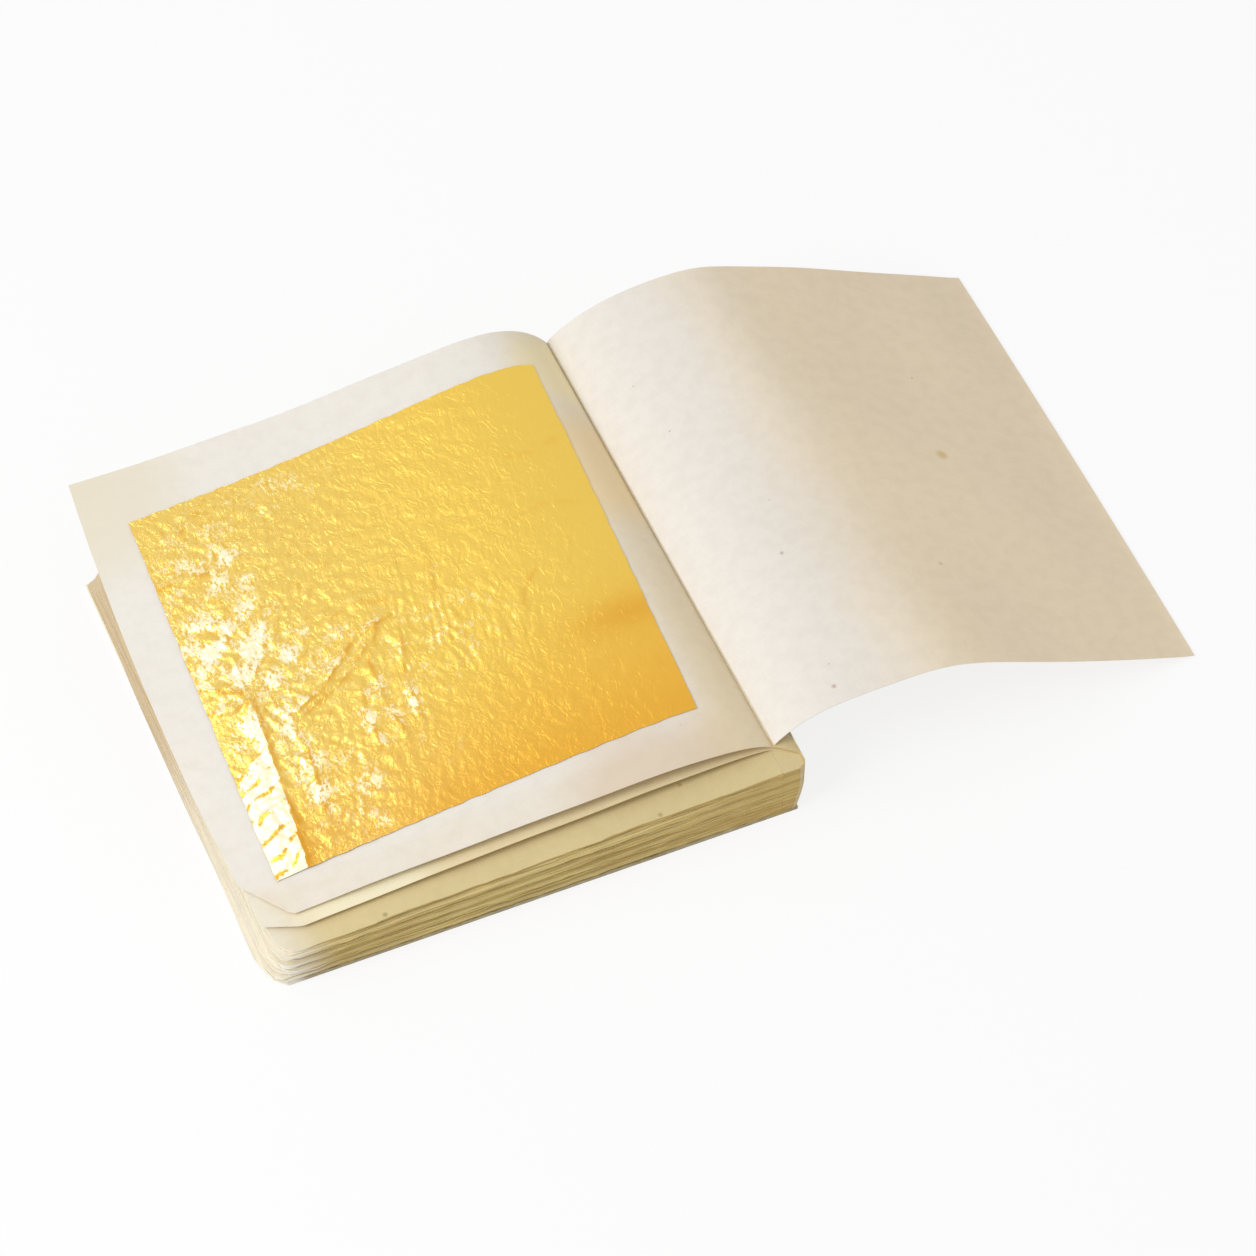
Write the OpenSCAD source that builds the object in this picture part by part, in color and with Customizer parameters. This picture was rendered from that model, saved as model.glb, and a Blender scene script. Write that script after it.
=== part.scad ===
// Booklet of gold leaf, lying open at its last pages.
// Square sheets of gold lie between thin paper leaves, which are stapled and
// glued together along the right-hand edge. The top leaf is turned over to the
// right and rests on the table, and the page under it carries the shown gold.
// Origin: on the back cover's underside, half the booklet's width in from the
// spine and half its depth in from the front. +X runs from the free edges to the
// spine, +Y from front to back, +Z up. Millimetres.

/* [Paper leaves] */
// Depth of a leaf, along the spine
leaf_depth = 97; // [94:1:100]
// Width of a leaf from its crease to its free edge, on the bottom of the stack
leaf_width = 95.6; // [92:0.2:97]
// Thickness of the paper
paper_t = 0.12; // [0.08:0.01:0.14]
// Step from one leaf to the next in a bundle, at the crease
leaf_pitch = 0.44; // [0.4:0.01:0.44]
// Extra gap between bundles of leaves
bundle_gap = 0.32; // [0.2:0.02:0.4]
// Leaves in a bundle
bundle_size = 4; // [3:1:6]
// How far the stack's left edge leans in, for each millimetre of height
left_lean = 0.14; // [0:0.02:0.2]
// How far the stack thins towards its free edge, at its top
free_edge_drop = 3.4; // [3.3:0.1:3.8]
// How far the stack swells at the back, at its top
back_swell = 5.6; // [4:0.1:5.7]

/* [Gold leaf] */
// Side of a square sheet of gold leaf
gold_side = 80; // [70:1:82]
// Thickness drawn for a sheet of gold leaf
gold_t = 0.04; // [0.03:0.01:0.06]
// Gap from the crease to the nearest edge of the gold
gold_inset = 8; // [6:0.5:10]
// How far the shown sheet of gold is turned on its page, in degrees
gold_turn = 1.5; // [-2:0.1:2]

/* [Cover and binding] */
// Thickness of the back cover's card
cover_t = 0.8; // [0.7:0.05:1]
// Width of the booklet at the top of its stack
cover_w = 99.2; // [97:0.2:101]
// How far the cover stands out past that width at its free edge
cover_lip = 1.2; // [0:0.2:2]
// Width of the bound margin, from the crease to the spine
margin_w = 4.6; // [4.2:0.1:5]
// How far the spine tucks in at its foot
spine_tuck = 1.4; // [0:0.1:2]
// Height over which the spine tucks in
spine_tuck_h = 7; // [5:0.5:9]
// Thickness of the glued strip along the spine
strip_t = 0.25; // [0.15:0.05:0.3]
// Diameter of the staple wire
wire_d = 0.6; // [0.5:0.05:0.65]
// Length of a staple's crown
crown = 12; // [8:1:14]
// Distance of each staple from the middle of the spine
staple_y = 25; // [18:1:30]

/* [Open pages] */
// How far the open page lies back from the front of the stack
page_setback = 5.4; // [4:0.2:6]
// Height of the gutter at its front end
gutter_front_z = 13.5; // [13.4:0.1:14]
// Height of the gutter at its back end
gutter_back_z = 19.1; // [18.9:0.1:19.4]
// Distance from the gutter to the turned leaf's free edge
turned_w = 83; // [80:0.5:86]
// Distance from the gutter to the crest of the turned leaf's arch
crest_d = 24; // [20:1:28]
// Dog-ear at the open page's front corner, along its front and its side
dog_ear = [6, 9]; // [0:1:12]

/* [Hidden] */
block_leaves = 22;
first_gap = 0.3;
crease_gap = 0.3;
front_y = -leaf_depth / 2;
spine_x = cover_w / 2;
crease_x = spine_x - margin_w;
page_depth = leaf_depth + 1.6;
paper = "#efe9dc";
paper_shade = "#e2d8b8";
gold = "#f0b83c";
card = "#b9b09a";
steel = "#b8bcc0";

function two_digits(k) = str(k < 10 ? "0" : "", k);
LEAVES = [for (k = [1 : block_leaves]) str("leaf_", two_digits(k))];
GOLDS = [for (k = [1 : block_leaves + 3]) str("gold_", two_digits(k))];

// How far up the stack a leaf is, from 0 at the cover to 1 at the top
function up(k) = k / block_leaves;
// Underside of leaf k at the front end of its crease
function leaf_z(k) = cover_t + first_gap + leaf_pitch * (k - 1)
    + bundle_gap * floor((k - 1) / bundle_size);
// Rise of leaf k from front to back, and its drop towards the free edge
function rise_angle(k) = atan(back_swell * pow(up(k), 2) / leaf_depth);
function drop_angle(k) = atan(free_edge_drop * up(k) / leaf_width);
// Leaves are laid by hand: each is a little out of line with the next. Turn is
// the angle between neighbours, and most is how far out of line they can be.
function uneven(k, turn, most) = most * sin(turn * k);
// The spine's outer face, tucked in at its foot
function spine_face(z) = spine_x - spine_tuck * max(0, 1 - z / spine_tuck_h);

// The gutter, from v = 0 at the front to v = 1 at the back
gutter_front_x = 45.8;
gutter_skew = 1.5;
function gutter(v) = [
    gutter_front_x - gutter_skew * v,
    front_y + page_setback + page_depth * v,
    gutter_front_z + (gutter_back_z - gutter_front_z) * v
];
function mix(a, b, t) = a + (b - a) * t;
function softplus(t) = ln(1 + exp(t));

// Frame of a flat leaf: its underside's crease is on the Y axis of this frame
module on_leaf(k)
    translate([crease_x, front_y, leaf_z(k)])
        rotate([rise_angle(k), 0, 0])
            rotate([0, -drop_angle(k), 0])
                children();

// A thin solid under a grid of points: rows run front to back, each row in +X
module sheet_under(grid, t) {
    rows = len(grid);
    cols = len(grid[0]);
    n = rows * cols;
    top = [for (row = grid) each row];
    function id(i, j) = i * cols + j;
    function quad(a, b, c, d) = [[a, b, c], [a, c, d]];
    faces = [
        for (i = [0 : rows - 2], j = [0 : cols - 2]) each concat(
            quad(id(i, j), id(i + 1, j), id(i + 1, j + 1), id(i, j + 1)),
            quad(n + id(i, j), n + id(i, j + 1), n + id(i + 1, j + 1), n + id(i + 1, j))
        ),
        for (j = [0 : cols - 2]) each concat(
            quad(id(0, j), id(0, j + 1), n + id(0, j + 1), n + id(0, j)),
            quad(id(rows - 1, j + 1), id(rows - 1, j), n + id(rows - 1, j), n + id(rows - 1, j + 1))
        ),
        for (i = [0 : rows - 2]) each concat(
            quad(id(i + 1, 0), id(i, 0), n + id(i, 0), n + id(i + 1, 0)),
            quad(id(i, cols - 1), id(i + 1, cols - 1), n + id(i + 1, cols - 1), n + id(i, cols - 1))
        )
    ];
    polyhedron(concat(top, [for (p = top) p - [0, 0, t]]), faces);
}

// Heights of the pages that lie open, at d from the gutter. At its front and at
// its back a page starts a little under the gutter, rises steeply and then falls
// away to its free edge, which also sags between them.
// Each rise is given as [start under the gutter, height, length].
page_rises = [[0.4, 3.4, 5], [0.2, 10.1, 7]];
page_fall = 6.1;
page_slump = 10;
page_sag = 1.3;
second_rises = [[0.8, 1.1, 5], [0.6, 3.4, 7]];
second_fall = 4.2;
second_slump = 5;
second_sag = 0.5;
fall_d = 93;
slump_d = 43;
sag_d = 95;
function rise(r, d) = r[1] * (1 - exp(-d / r[2])) - r[0];
function fall(h, d) = h * pow(d / fall_d, 1.5);
function slump(h, d) = h * (1 - exp(-pow(d / slump_d, 1.7)));
function edge_sag(h, d, v) = h * 4 * v * (1 - v) * pow(d / sag_d, 2);
function page_z(d, v) = mix(
    gutter_front_z + rise(page_rises[0], d) - fall(page_fall, d),
    gutter_back_z + rise(page_rises[1], d) - slump(page_slump, d),
    v
) - edge_sag(page_sag, d, v);
function second_z(d, v) = mix(
    gutter_front_z + rise(second_rises[0], d) - fall(second_fall, d),
    gutter_back_z + rise(second_rises[1], d) - slump(second_slump, d),
    v
) - edge_sag(second_sag, d, v);

// Plan of an open page. It hinges a little to the left of the gutter, clear of
// the turned leaf. The second page is trimmed a little narrower.
page_hinge = 0.7;
page_w = 95.5;
second_trim = 0.8;
page_narrowing = 2.3;
page_bulge = 1.8;
page_yaw = 0.0136;
function page_width(v) = page_w - page_narrowing * v + page_bulge * 4 * v * (1 - v);
function page_y(d, v) = gutter(v)[1] + page_yaw * d;
function ear(d, v) = dog_ear[1] * max(0, d - page_width(v) + dog_ear[0]) / max(dog_ear[0], 0.1);
function page_at(u, v) =
    let (d = u * page_width(v), w = v + ear(d, v) / page_depth * (1 - v))
    [gutter(w)[0] - page_hinge - d, page_y(d, w), page_z(d, w)];
second_yaw = -0.0125;
second_front = -0.2;
second_ear = 0.3;
function second_at(u, v) =
    let (d = u * (page_width(v) - second_trim), w = v + second_ear * ear(d, v) / page_depth * (1 - v))
    [gutter(w)[0] - page_hinge - d, gutter(w)[1] + second_front + second_yaw * d, second_z(d, w)];

// The turned leaf: an arch out of the gutter, then a long slope to the table. It
// bends into the slope round a soft knee, and comes to rest a hair off the table.
turned_start = 0.2;
panel_gap = 0.3;
turned_rises = [[0, 7.5, 7.5], [0, 8.6, 9]];
slope_fall = [2.25, 2.44];
knee_d = 31.5;
knee_soft = 5;
table_gap = 0.1;
function slope(d, end) = slope_fall[end] * softplus((d - knee_d) / knee_soft);
function turned_z(d, v) =
    let (z = mix(
        gutter_front_z + rise(turned_rises[0], d) - slope(d, 0),
        gutter_back_z + rise(turned_rises[1], d) - slope(d, 1),
        v
    ))
    paper_t + table_gap + softplus(z - table_gap);

// Plan of the turned leaf: it spreads towards its free edge, and its back is
// stretched a little and drawn forward at the corner
turned_spread = [2.5, 2.5];
turned_bulge = 0.3;
turned_draw = 0.8;
turned_stretch = 0.03;
function turned_at(d, v) =
    let (g = gutter(v), u = d / turned_w)
    [
        g[0] + d + u * turned_spread[0] * v + u * turned_bulge * 4 * v * (1 - v),
        g[1] - u * turned_spread[1] * (1 - v) - turned_draw * v * pow(u, 3),
        turned_z(d * (1 + turned_stretch * v), v)
    ];

// Card under the stack, with holes for the staples' legs and grooves for their tails
module back_cover() color(card) difference() {
    linear_extrude(cover_t) polygon([
        [spine_face(0), front_y], [spine_face(0), front_y + leaf_depth],
        [cover_left, front_y + leaf_depth],
        [cover_left - 0.6 * cover_lip, front_y + straight_from],
        [cover_left + 0.4 * cover_lip, front_y + cover_corner],
        [cover_corner + cover_left + 0.5 * cover_lip, front_y]
    ]);
    staple_holes();
    for (side = [-1, 1], leg = [-1, 1])
        translate([staple_x, side * staple_y + leg * crown / 2, 0])
            rotate([90 * leg, 0, 0])
                translate([0, tail_z * leg, -wire_d / 2])
                    tail_groove();
}

cover_left = -cover_w / 2 - cover_lip;
cover_corner = 2;
// Past this distance from the front, the left edges of the leaves run straight
straight_from = 9;
staple_x = spine_x - 2.2;
tail_z = 0.36;
tail = 4;
hole_d = wire_d + 0.12;

// Half-round groove for one clinched tail, open to the underside
module tail_groove() {
    cylinder(d = hole_d, h = tail + wire_d, $fn = 24);
    translate([-hole_d / 2, -cover_t, 0])
        cube([hole_d, cover_t, tail + wire_d]);
}

module staple_holes()
    for (side = [-1, 1], leg = [-1, 1])
        translate([staple_x, side * staple_y + leg * crown / 2, -1])
            cylinder(d = hole_d, h = gutter_back_z + 5, $fn = 24);

// Glued strip that holds the sheets' edges along the spine
module spine_strip() color(paper) difference() {
    translate([0, front_y + leaf_depth, 0])
        rotate([90, 0, 0])
            linear_extrude(leaf_depth)
                polygon([
                    [spine_face(0), 0],
                    [spine_face(spine_tuck_h), spine_tuck_h],
                    [spine_x, strip_top + 2 * back_swell],
                    [spine_x - strip_t, strip_top + 2 * back_swell],
                    [spine_x - strip_t, spine_tuck_h],
                    [spine_face(0) - strip_t, 0]
                ]);
    translate([crease_x, front_y, strip_top])
        rotate([atan(back_swell / leaf_depth), 0, 0])
            translate([0, -5, 0])
                cube([2 * margin_w, leaf_depth + 10, 2 * back_swell]);
    translate([0, front_y - 1, -1])
        cube([spine_x + 1, leaf_depth + 2, 1 + cover_t]);
}
strip_top = leaf_z(block_leaves) + 4 * paper_t + 0.25;

// Two wire staples: crowns on top of the margins, tails clinched in the cover
module staples() color(steel)
    for (side = [-1, 1]) staple(side * staple_y);

module staple(y) {
    near = [staple_x, y - crown / 2, margin_top(y - crown / 2)];
    far = [staple_x, y + crown / 2, margin_top(y + crown / 2)];
    rod(near, far);
    rod(near, [near[0], near[1], tail_z]);
    rod(far, [far[0], far[1], tail_z]);
    rod([near[0], near[1], tail_z], [near[0], near[1] + tail, tail_z]);
    rod([far[0], far[1], tail_z], [far[0], far[1] - tail, tail_z]);
    for (p = [near, far, [near[0], near[1], tail_z], [far[0], far[1], tail_z]])
        translate(p) sphere(d = wire_d, $fn = 24);
}

// Straight length of staple wire between two points
module rod(from, to) {
    run = to - from;
    translate(from)
        rotate([0, acos(run[2] / norm(run)), atan2(run[1], run[0])])
            cylinder(d = wire_d, h = norm(run), $fn = 24);
}

// Height of the staple crown's wire above the top margin, at y
function margin_top(y) =
    let (v = (y - gutter(0)[1]) / page_depth)
    upper_margin(upper_sheets, 1, v)[2] + 0.85 * wire_d;

// The part of each sheet between its crease and the spine, pressed together
module bound_margins() color(paper_shade) difference() {
    union() {
        for (k = [1 : block_leaves]) flat_margin(k);
        for (i = [1 : upper_sheets]) sheet_under(
            [for (v = [0, 1]) [for (j = [0 : 2]) upper_margin(i, j, v)]],
            paper_t
        );
    }
    staple_holes();
}

module flat_margin(k)
    translate([crease_x + crease_gap, front_y, leaf_z(k)])
        rotate([rise_angle(k), 0, 0])
            cube([
                spine_face(leaf_z(k)) - strip_t - glue_t - crease_x - crease_gap,
                leaf_depth, paper_t
            ]);

// Margins of the upper sheets i, from the gutter at j = 0 to the spine at j = 2.
// They lie close together at the spine, and their ends there are set forward.
upper_sheets = 3;
glue_t = 0.02;
gutter_clear = 0.35;
gutter_step = 0.3;
spine_forward = [2.7, 3];
function upper_margin(i, j, v) =
    let (
        g = gutter(v),
        gutter_end = [g[0] + gutter_clear, g[1], g[2] - gutter_step * (upper_sheets - i)],
        spine_end = [
            spine_x - strip_t - glue_t,
            g[1] - mix(spine_forward[0], spine_forward[1], v),
            leaf_z(block_leaves) + back_swell * v + 2 * paper_t * i
        ]
    )
    mix(gutter_end, spine_end, j / 2);

// A flat leaf of the stack: its corner is cut where the real one is rounded
module leaf(k) color(k % bundle_size == 0 ? paper_shade : paper) on_leaf(k)
    linear_extrude(paper_t) polygon(leaf_outline(k));

// The lower leaves spread to the left at their front, as the cover does.
low_spread = 1.2;
function leaf_outline(k) =
    let (
        w = leaf_width - left_lean * leaf_z(k) + uneven(k, 137, 0.4),
        front = uneven(k, 73, 0.35),
        back = leaf_depth - left_lean * leaf_z(k) + uneven(k, 101, 0.3),
        left = -w - low_spread * (1 - up(k)),
        corner = 2.2 + uneven(k, 51, 0.8)
    )
    [
        [0, front + crease_gap], [0, back], [-w, back], [left, front + straight_from],
        [left + 0.3 * corner, front + corner], [left + 1.1 * corner, front]
    ];

// The two curved pages above the stack
module second_page() color(paper)
    sheet_under(left_grid(function(u, v) second_at(u, v)), paper_t);

module open_page() color(paper)
    sheet_under(left_grid(function(u, v) page_at(u, v)), paper_t);

across = 26;
along = 8;
// Rows from front to back, each from the free edge to the gutter, closer there
function left_grid(at) = [
    for (i = [0 : along]) [for (j = [across : -1 : 0]) at(pow(j / across, 1.5), i / along)]
];

// The turned leaf, in two panels that bend at the crest of the arch
module turned_leaf_arch() color(paper)
    sheet_under(right_grid(turned_start, crest_d - panel_gap / 2, 12), paper_t);

module turned_leaf_fall() color(paper)
    sheet_under(right_grid(crest_d + panel_gap / 2, turned_w, 18), paper_t);

function right_grid(from, to, n) = [
    for (i = [0 : along]) [for (j = [0 : n]) turned_at(mix(from, to, j / n), i / along)]
];

// Gold k lies on what is under leaf k: the cover, a flat leaf or a curved page
module gold_sheet(k) color(gold) {
    if (k == 1)
        translate([crease_x, front_y, cover_t]) flat_gold(k);
    else if (k <= block_leaves + 1)
        on_leaf(k - 1) translate([0, 0, paper_t]) flat_gold(k);
    else if (k == block_leaves + 2)
        sheet_under(curved_gold(function(d, v) second_z(d, v), second_front, second_yaw), gold_t);
    else
        sheet_under(curved_gold(function(d, v) page_z(d, v), 0, page_yaw), gold_t);
}

gold_front = 8.5;
gold_slack = 0.8;
module flat_gold(k)
    translate([
        uneven(k, 89, gold_slack) - gold_inset - gold_side,
        gold_front + uneven(k, 61, gold_slack), 0
    ])
        cube([gold_side, gold_side, gold_t]);

// Square of gold that follows a page, lifted a hair above it. It is turned on
// the page, and drawn to its left at the front by the strong creases there.
gold_steps = 20;
gold_centre = [-3.5, 6.2];
gold_drag = 2.2;
gold_lift = 0.16;
function gold_xy(s, t) =
    let (a = gold_side * (s - 0.5), b = gold_side * (t - 0.5))
    [
        gold_centre[0] + a * cos(gold_turn) - b * sin(gold_turn) + 2 * gold_drag * (t - 0.5),
        gold_centre[1] + a * sin(gold_turn) + b * cos(gold_turn)
    ];
function curved_gold(height, front, yaw) = [
    for (i = [0 : along]) [
        for (j = [0 : gold_steps])
            let (
                p = gold_xy(1 - pow(1 - j / gold_steps, 1.3), i / along),
                v = (p[1] - gutter(0)[1] - front - yaw * (crease_x - p[0])) / page_depth,
                d = gutter(v)[0] - page_hinge - p[0]
            )
            [p[0], p[1], height(d, v) + gold_lift + gold_t]
    ]
];

back_cover();
spine_strip();
staples();
bound_margins();
for (k = [1 : block_leaves])
    leaf(k);
second_page();
open_page();
turned_leaf_arch();
turned_leaf_fall();
for (k = [1 : block_leaves + 3])
    gold_sheet(k);
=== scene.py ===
"""A booklet of gold leaf, lying open with one leaf turned over on to the table.

Lengths in the classes are in millimetres, in the frame of the solids: +X runs
from the leaves' free edges to the spine, +Y from front to back and +Z up. A mesh
is scaled to metres as it is made.
"""

import logging
import math
from dataclasses import dataclass, field, replace
from enum import Enum
from typing import Callable, Mapping, Optional, Sequence, Union

import bpy
import numpy as np
from mathutils import Matrix


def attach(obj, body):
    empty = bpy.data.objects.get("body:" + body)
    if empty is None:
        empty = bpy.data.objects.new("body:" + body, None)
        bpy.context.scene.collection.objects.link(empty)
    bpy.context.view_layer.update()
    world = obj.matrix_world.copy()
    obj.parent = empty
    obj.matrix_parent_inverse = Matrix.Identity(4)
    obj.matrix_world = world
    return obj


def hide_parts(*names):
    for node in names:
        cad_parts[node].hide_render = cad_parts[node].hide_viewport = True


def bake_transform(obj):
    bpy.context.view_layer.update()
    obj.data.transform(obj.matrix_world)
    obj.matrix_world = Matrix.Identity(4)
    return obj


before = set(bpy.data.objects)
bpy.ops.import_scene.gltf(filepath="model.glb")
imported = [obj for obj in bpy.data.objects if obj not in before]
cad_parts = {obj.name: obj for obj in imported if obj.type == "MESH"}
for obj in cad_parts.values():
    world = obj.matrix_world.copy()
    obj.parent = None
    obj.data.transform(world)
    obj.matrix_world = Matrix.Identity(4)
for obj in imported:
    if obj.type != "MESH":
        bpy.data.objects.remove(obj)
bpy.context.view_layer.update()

MM = 0.001
UV_SPAN = 100.0
LOG = logging.getLogger("booklet")

Colour = tuple[float, float, float, float]
WHITE: Colour = (1.0, 1.0, 1.0, 1.0)
Point = tuple[float, float, float]
Pair = tuple[float, float]


def tone(red: float, green: float, blue: float) -> Colour:
    """Turn a screen colour, 0 to 255 in each part, into a linear colour.

    Args:
        red: Red part.
        green: Green part.
        blue: Blue part.

    Returns:
        The linear red, green and blue parts and an alpha of 1.
    """
    parts = [((c / 255 + 0.055) / 1.055) ** 2.4 for c in (red, green, blue)]
    return (parts[0], parts[1], parts[2], 1.0)


# Shader wiring


def operator(operation: str, swapped: bool = False) -> Callable[["Wire", "Value"], "Wire"]:
    """Make the method of Wire for one operator.

    Args:
        operation: The Math node's operation.
        swapped: True for the reflected form, where the wire comes second.

    Returns:
        A method that adds the Math node.
    """

    def method(wire: "Wire", other: "Value") -> "Wire":
        """Add the node."""
        values = (other, wire) if swapped else (wire, other)
        return wire.graph.node("ShaderNodeMath", {"operation": operation}, dict(enumerate(values)))

    return method


class Wire:
    """A shader socket that can be used in sums."""

    def __init__(self, graph: "Graph", socket: bpy.types.NodeSocket) -> None:
        """Hold a socket and the graph that it belongs to."""
        self.graph = graph
        self.socket = socket

    __add__ = operator("ADD")
    __radd__ = operator("ADD", swapped=True)
    __sub__ = operator("SUBTRACT")
    __rsub__ = operator("SUBTRACT", swapped=True)
    __mul__ = operator("MULTIPLY")
    __rmul__ = operator("MULTIPLY", swapped=True)


Value = Union[float, Sequence[float], Wire]


class Graph:
    """The node tree of a material or of a world."""

    def __init__(self, name: str, world: Optional[bpy.types.World] = None) -> None:
        """Start an empty tree, in a new material of this name unless a world is given."""
        self.owner = world or bpy.data.materials.new(name)
        self.owner.use_nodes = True
        self.tree = self.owner.node_tree
        self.tree.nodes.clear()

    def node(
        self,
        kind: str,
        settings: Optional[Mapping[str, object]] = None,
        sockets: Optional[Mapping[Union[int, str], Value]] = None,
        out: Union[int, str] = 0,
    ) -> Wire:
        """Add a node.

        Args:
            kind: The node's type.
            settings: Its properties, set before its sockets.
            sockets: A value or a wire for each socket, by number or name.
            out: Which output to return.

        Returns:
            The chosen output, or the first input of a node that ends the tree.
        """
        node = self.tree.nodes.new(kind)
        for key, value in (settings or {}).items():
            setattr(node, key, value)
        for key, value in (sockets or {}).items():
            if isinstance(value, Wire):
                self.tree.links.new(value.socket, node.inputs[key])
            else:
                node.inputs[key].default_value = value
        ends = len(node.outputs) == 0
        return Wire(self, node.inputs[0] if ends else node.outputs[out])

    def solid_mm(self) -> Wire:
        """The point in the object's own space, in millimetres."""
        point = self.node("ShaderNodeTexCoord", out="Object")
        return self.scaled(point, 1 / MM)

    def sheet_mm(self) -> Wire:
        """The point on the sheet's own UV map, in millimetres."""
        point = self.node("ShaderNodeUVMap", {"uv_map": "UVMap"})
        return self.scaled(point, UV_SPAN)

    def scaled(self, vector: Wire, factor: float) -> Wire:
        """A vector times a number."""
        return self.node(
            "ShaderNodeVectorMath", {"operation": "SCALE"}, {0: vector, "Scale": factor}
        )

    def stretched(self, vector: Wire, scale: Sequence[float], turn: float = 0.0) -> Wire:
        """A vector turned about Z by some degrees and scaled on each axis."""
        return self.node(
            "ShaderNodeMapping",
            {},
            {"Vector": vector, "Rotation": (0, 0, math.radians(turn)), "Scale": scale},
        )

    def split(self, vector: Wire) -> tuple[Wire, Wire, Wire]:
        """The three parts of a vector."""
        first = self.node("ShaderNodeSeparateXYZ", {}, {0: vector})
        outputs = first.socket.node.outputs
        return first, Wire(self, outputs[1]), Wire(self, outputs[2])

    def noise(self, vector: Wire, scale: float, detail: float = 2.0, warp: float = 0.0) -> Wire:
        """Cloudy noise from 0 to 1, with this many lumps to a unit."""
        return self.node(
            "ShaderNodeTexNoise",
            {},
            {"Vector": vector, "Scale": scale, "Detail": detail, "Distortion": warp},
        )

    def cells(self, vector: Wire, scale: float, feature: str) -> Wire:
        """Distance to the middle (F1) or the border (DISTANCE_TO_EDGE) of random cells."""
        return self.node(
            "ShaderNodeTexVoronoi", {"feature": feature}, {"Vector": vector, "Scale": scale}
        )

    def largest(self, first: Value, second: Value) -> Wire:
        """The larger of two numbers."""
        return self.node("ShaderNodeMath", {"operation": "MAXIMUM"}, {0: first, 1: second})

    def step(self, value: Wire, low: float, high: float) -> Wire:
        """0 below low, 1 above high and a soft rise between them."""
        return self.node(
            "ShaderNodeMapRange",
            {"interpolation_type": "SMOOTHSTEP"},
            {0: value, 1: low, 2: high},
        )

    def mix(self, factor: Value, first: Value, second: Value, way: str = "MIX") -> Wire:
        """Blend two colours by a factor."""
        return self.node(
            "ShaderNodeMix",
            {"data_type": "RGBA", "blend_type": way},
            {0: factor, 6: first, 7: second},
            out=2,
        )

    def bump(self, height: Wire, depth: float, under: Optional[Wire] = None) -> Wire:
        """A normal from a height, where 1 stands for depth in millimetres."""
        sockets: dict[Union[int, str], Value] = {
            "Height": height, "Strength": 1.0, "Distance": depth * MM,
        }
        if under is not None:
            sockets["Normal"] = under
        return self.node("ShaderNodeBump", {}, sockets)

    def finish(self, sockets: Mapping[Union[int, str], Value]) -> bpy.types.Material:
        """End the graph in a Principled shader and return the material."""
        shader = self.node("ShaderNodeBsdfPrincipled", {}, sockets)
        self.node("ShaderNodeOutputMaterial", {}, {"Surface": shader})
        return self.owner


# Finishes


class Edge(Enum):
    """An edge of a leaf that a band runs along; the band is a stain on most sheets and painted
    shade on some.
    """

    FRONT = "front"
    CREASE = "crease"
    FREE = "free"
    BACK = "back"


@dataclass(frozen=True)
class StainAndShade:
    """A soft band along an edge: yellowed paper on most sheets, painted shade in the open page's
    gutter and on the turned leaf's far part.

    It is full up to low and gone past high, both in millimetres from the edge
    at the front or at the crease. Along the free edge both are measured from
    the crease, along the back edge from the front, and it is full past high.
    """

    edge: Edge
    low: float
    high: float
    amount: float = 1.0

    def mask(self, graph: Graph, point: Wire) -> Wire:
        """How strong the band, stain and painted shade alike, is at a point."""
        across, along, _ = graph.split(point)
        place = along if self.edge in (Edge.FRONT, Edge.BACK) else across
        rising = graph.step(place, self.low, self.high)
        if self.edge in (Edge.FREE, Edge.BACK):
            return rising * self.amount
        return (1 - rising) * self.amount


@dataclass(frozen=True)
class Fleck:
    """A single spot, at a place measured from crease and front: mostly a speck in the paper, but a
    few are painted shade and one is a painted pool of light.
    """

    place: Pair
    size: float
    colour: Colour
    strength: float = 0.7


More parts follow.
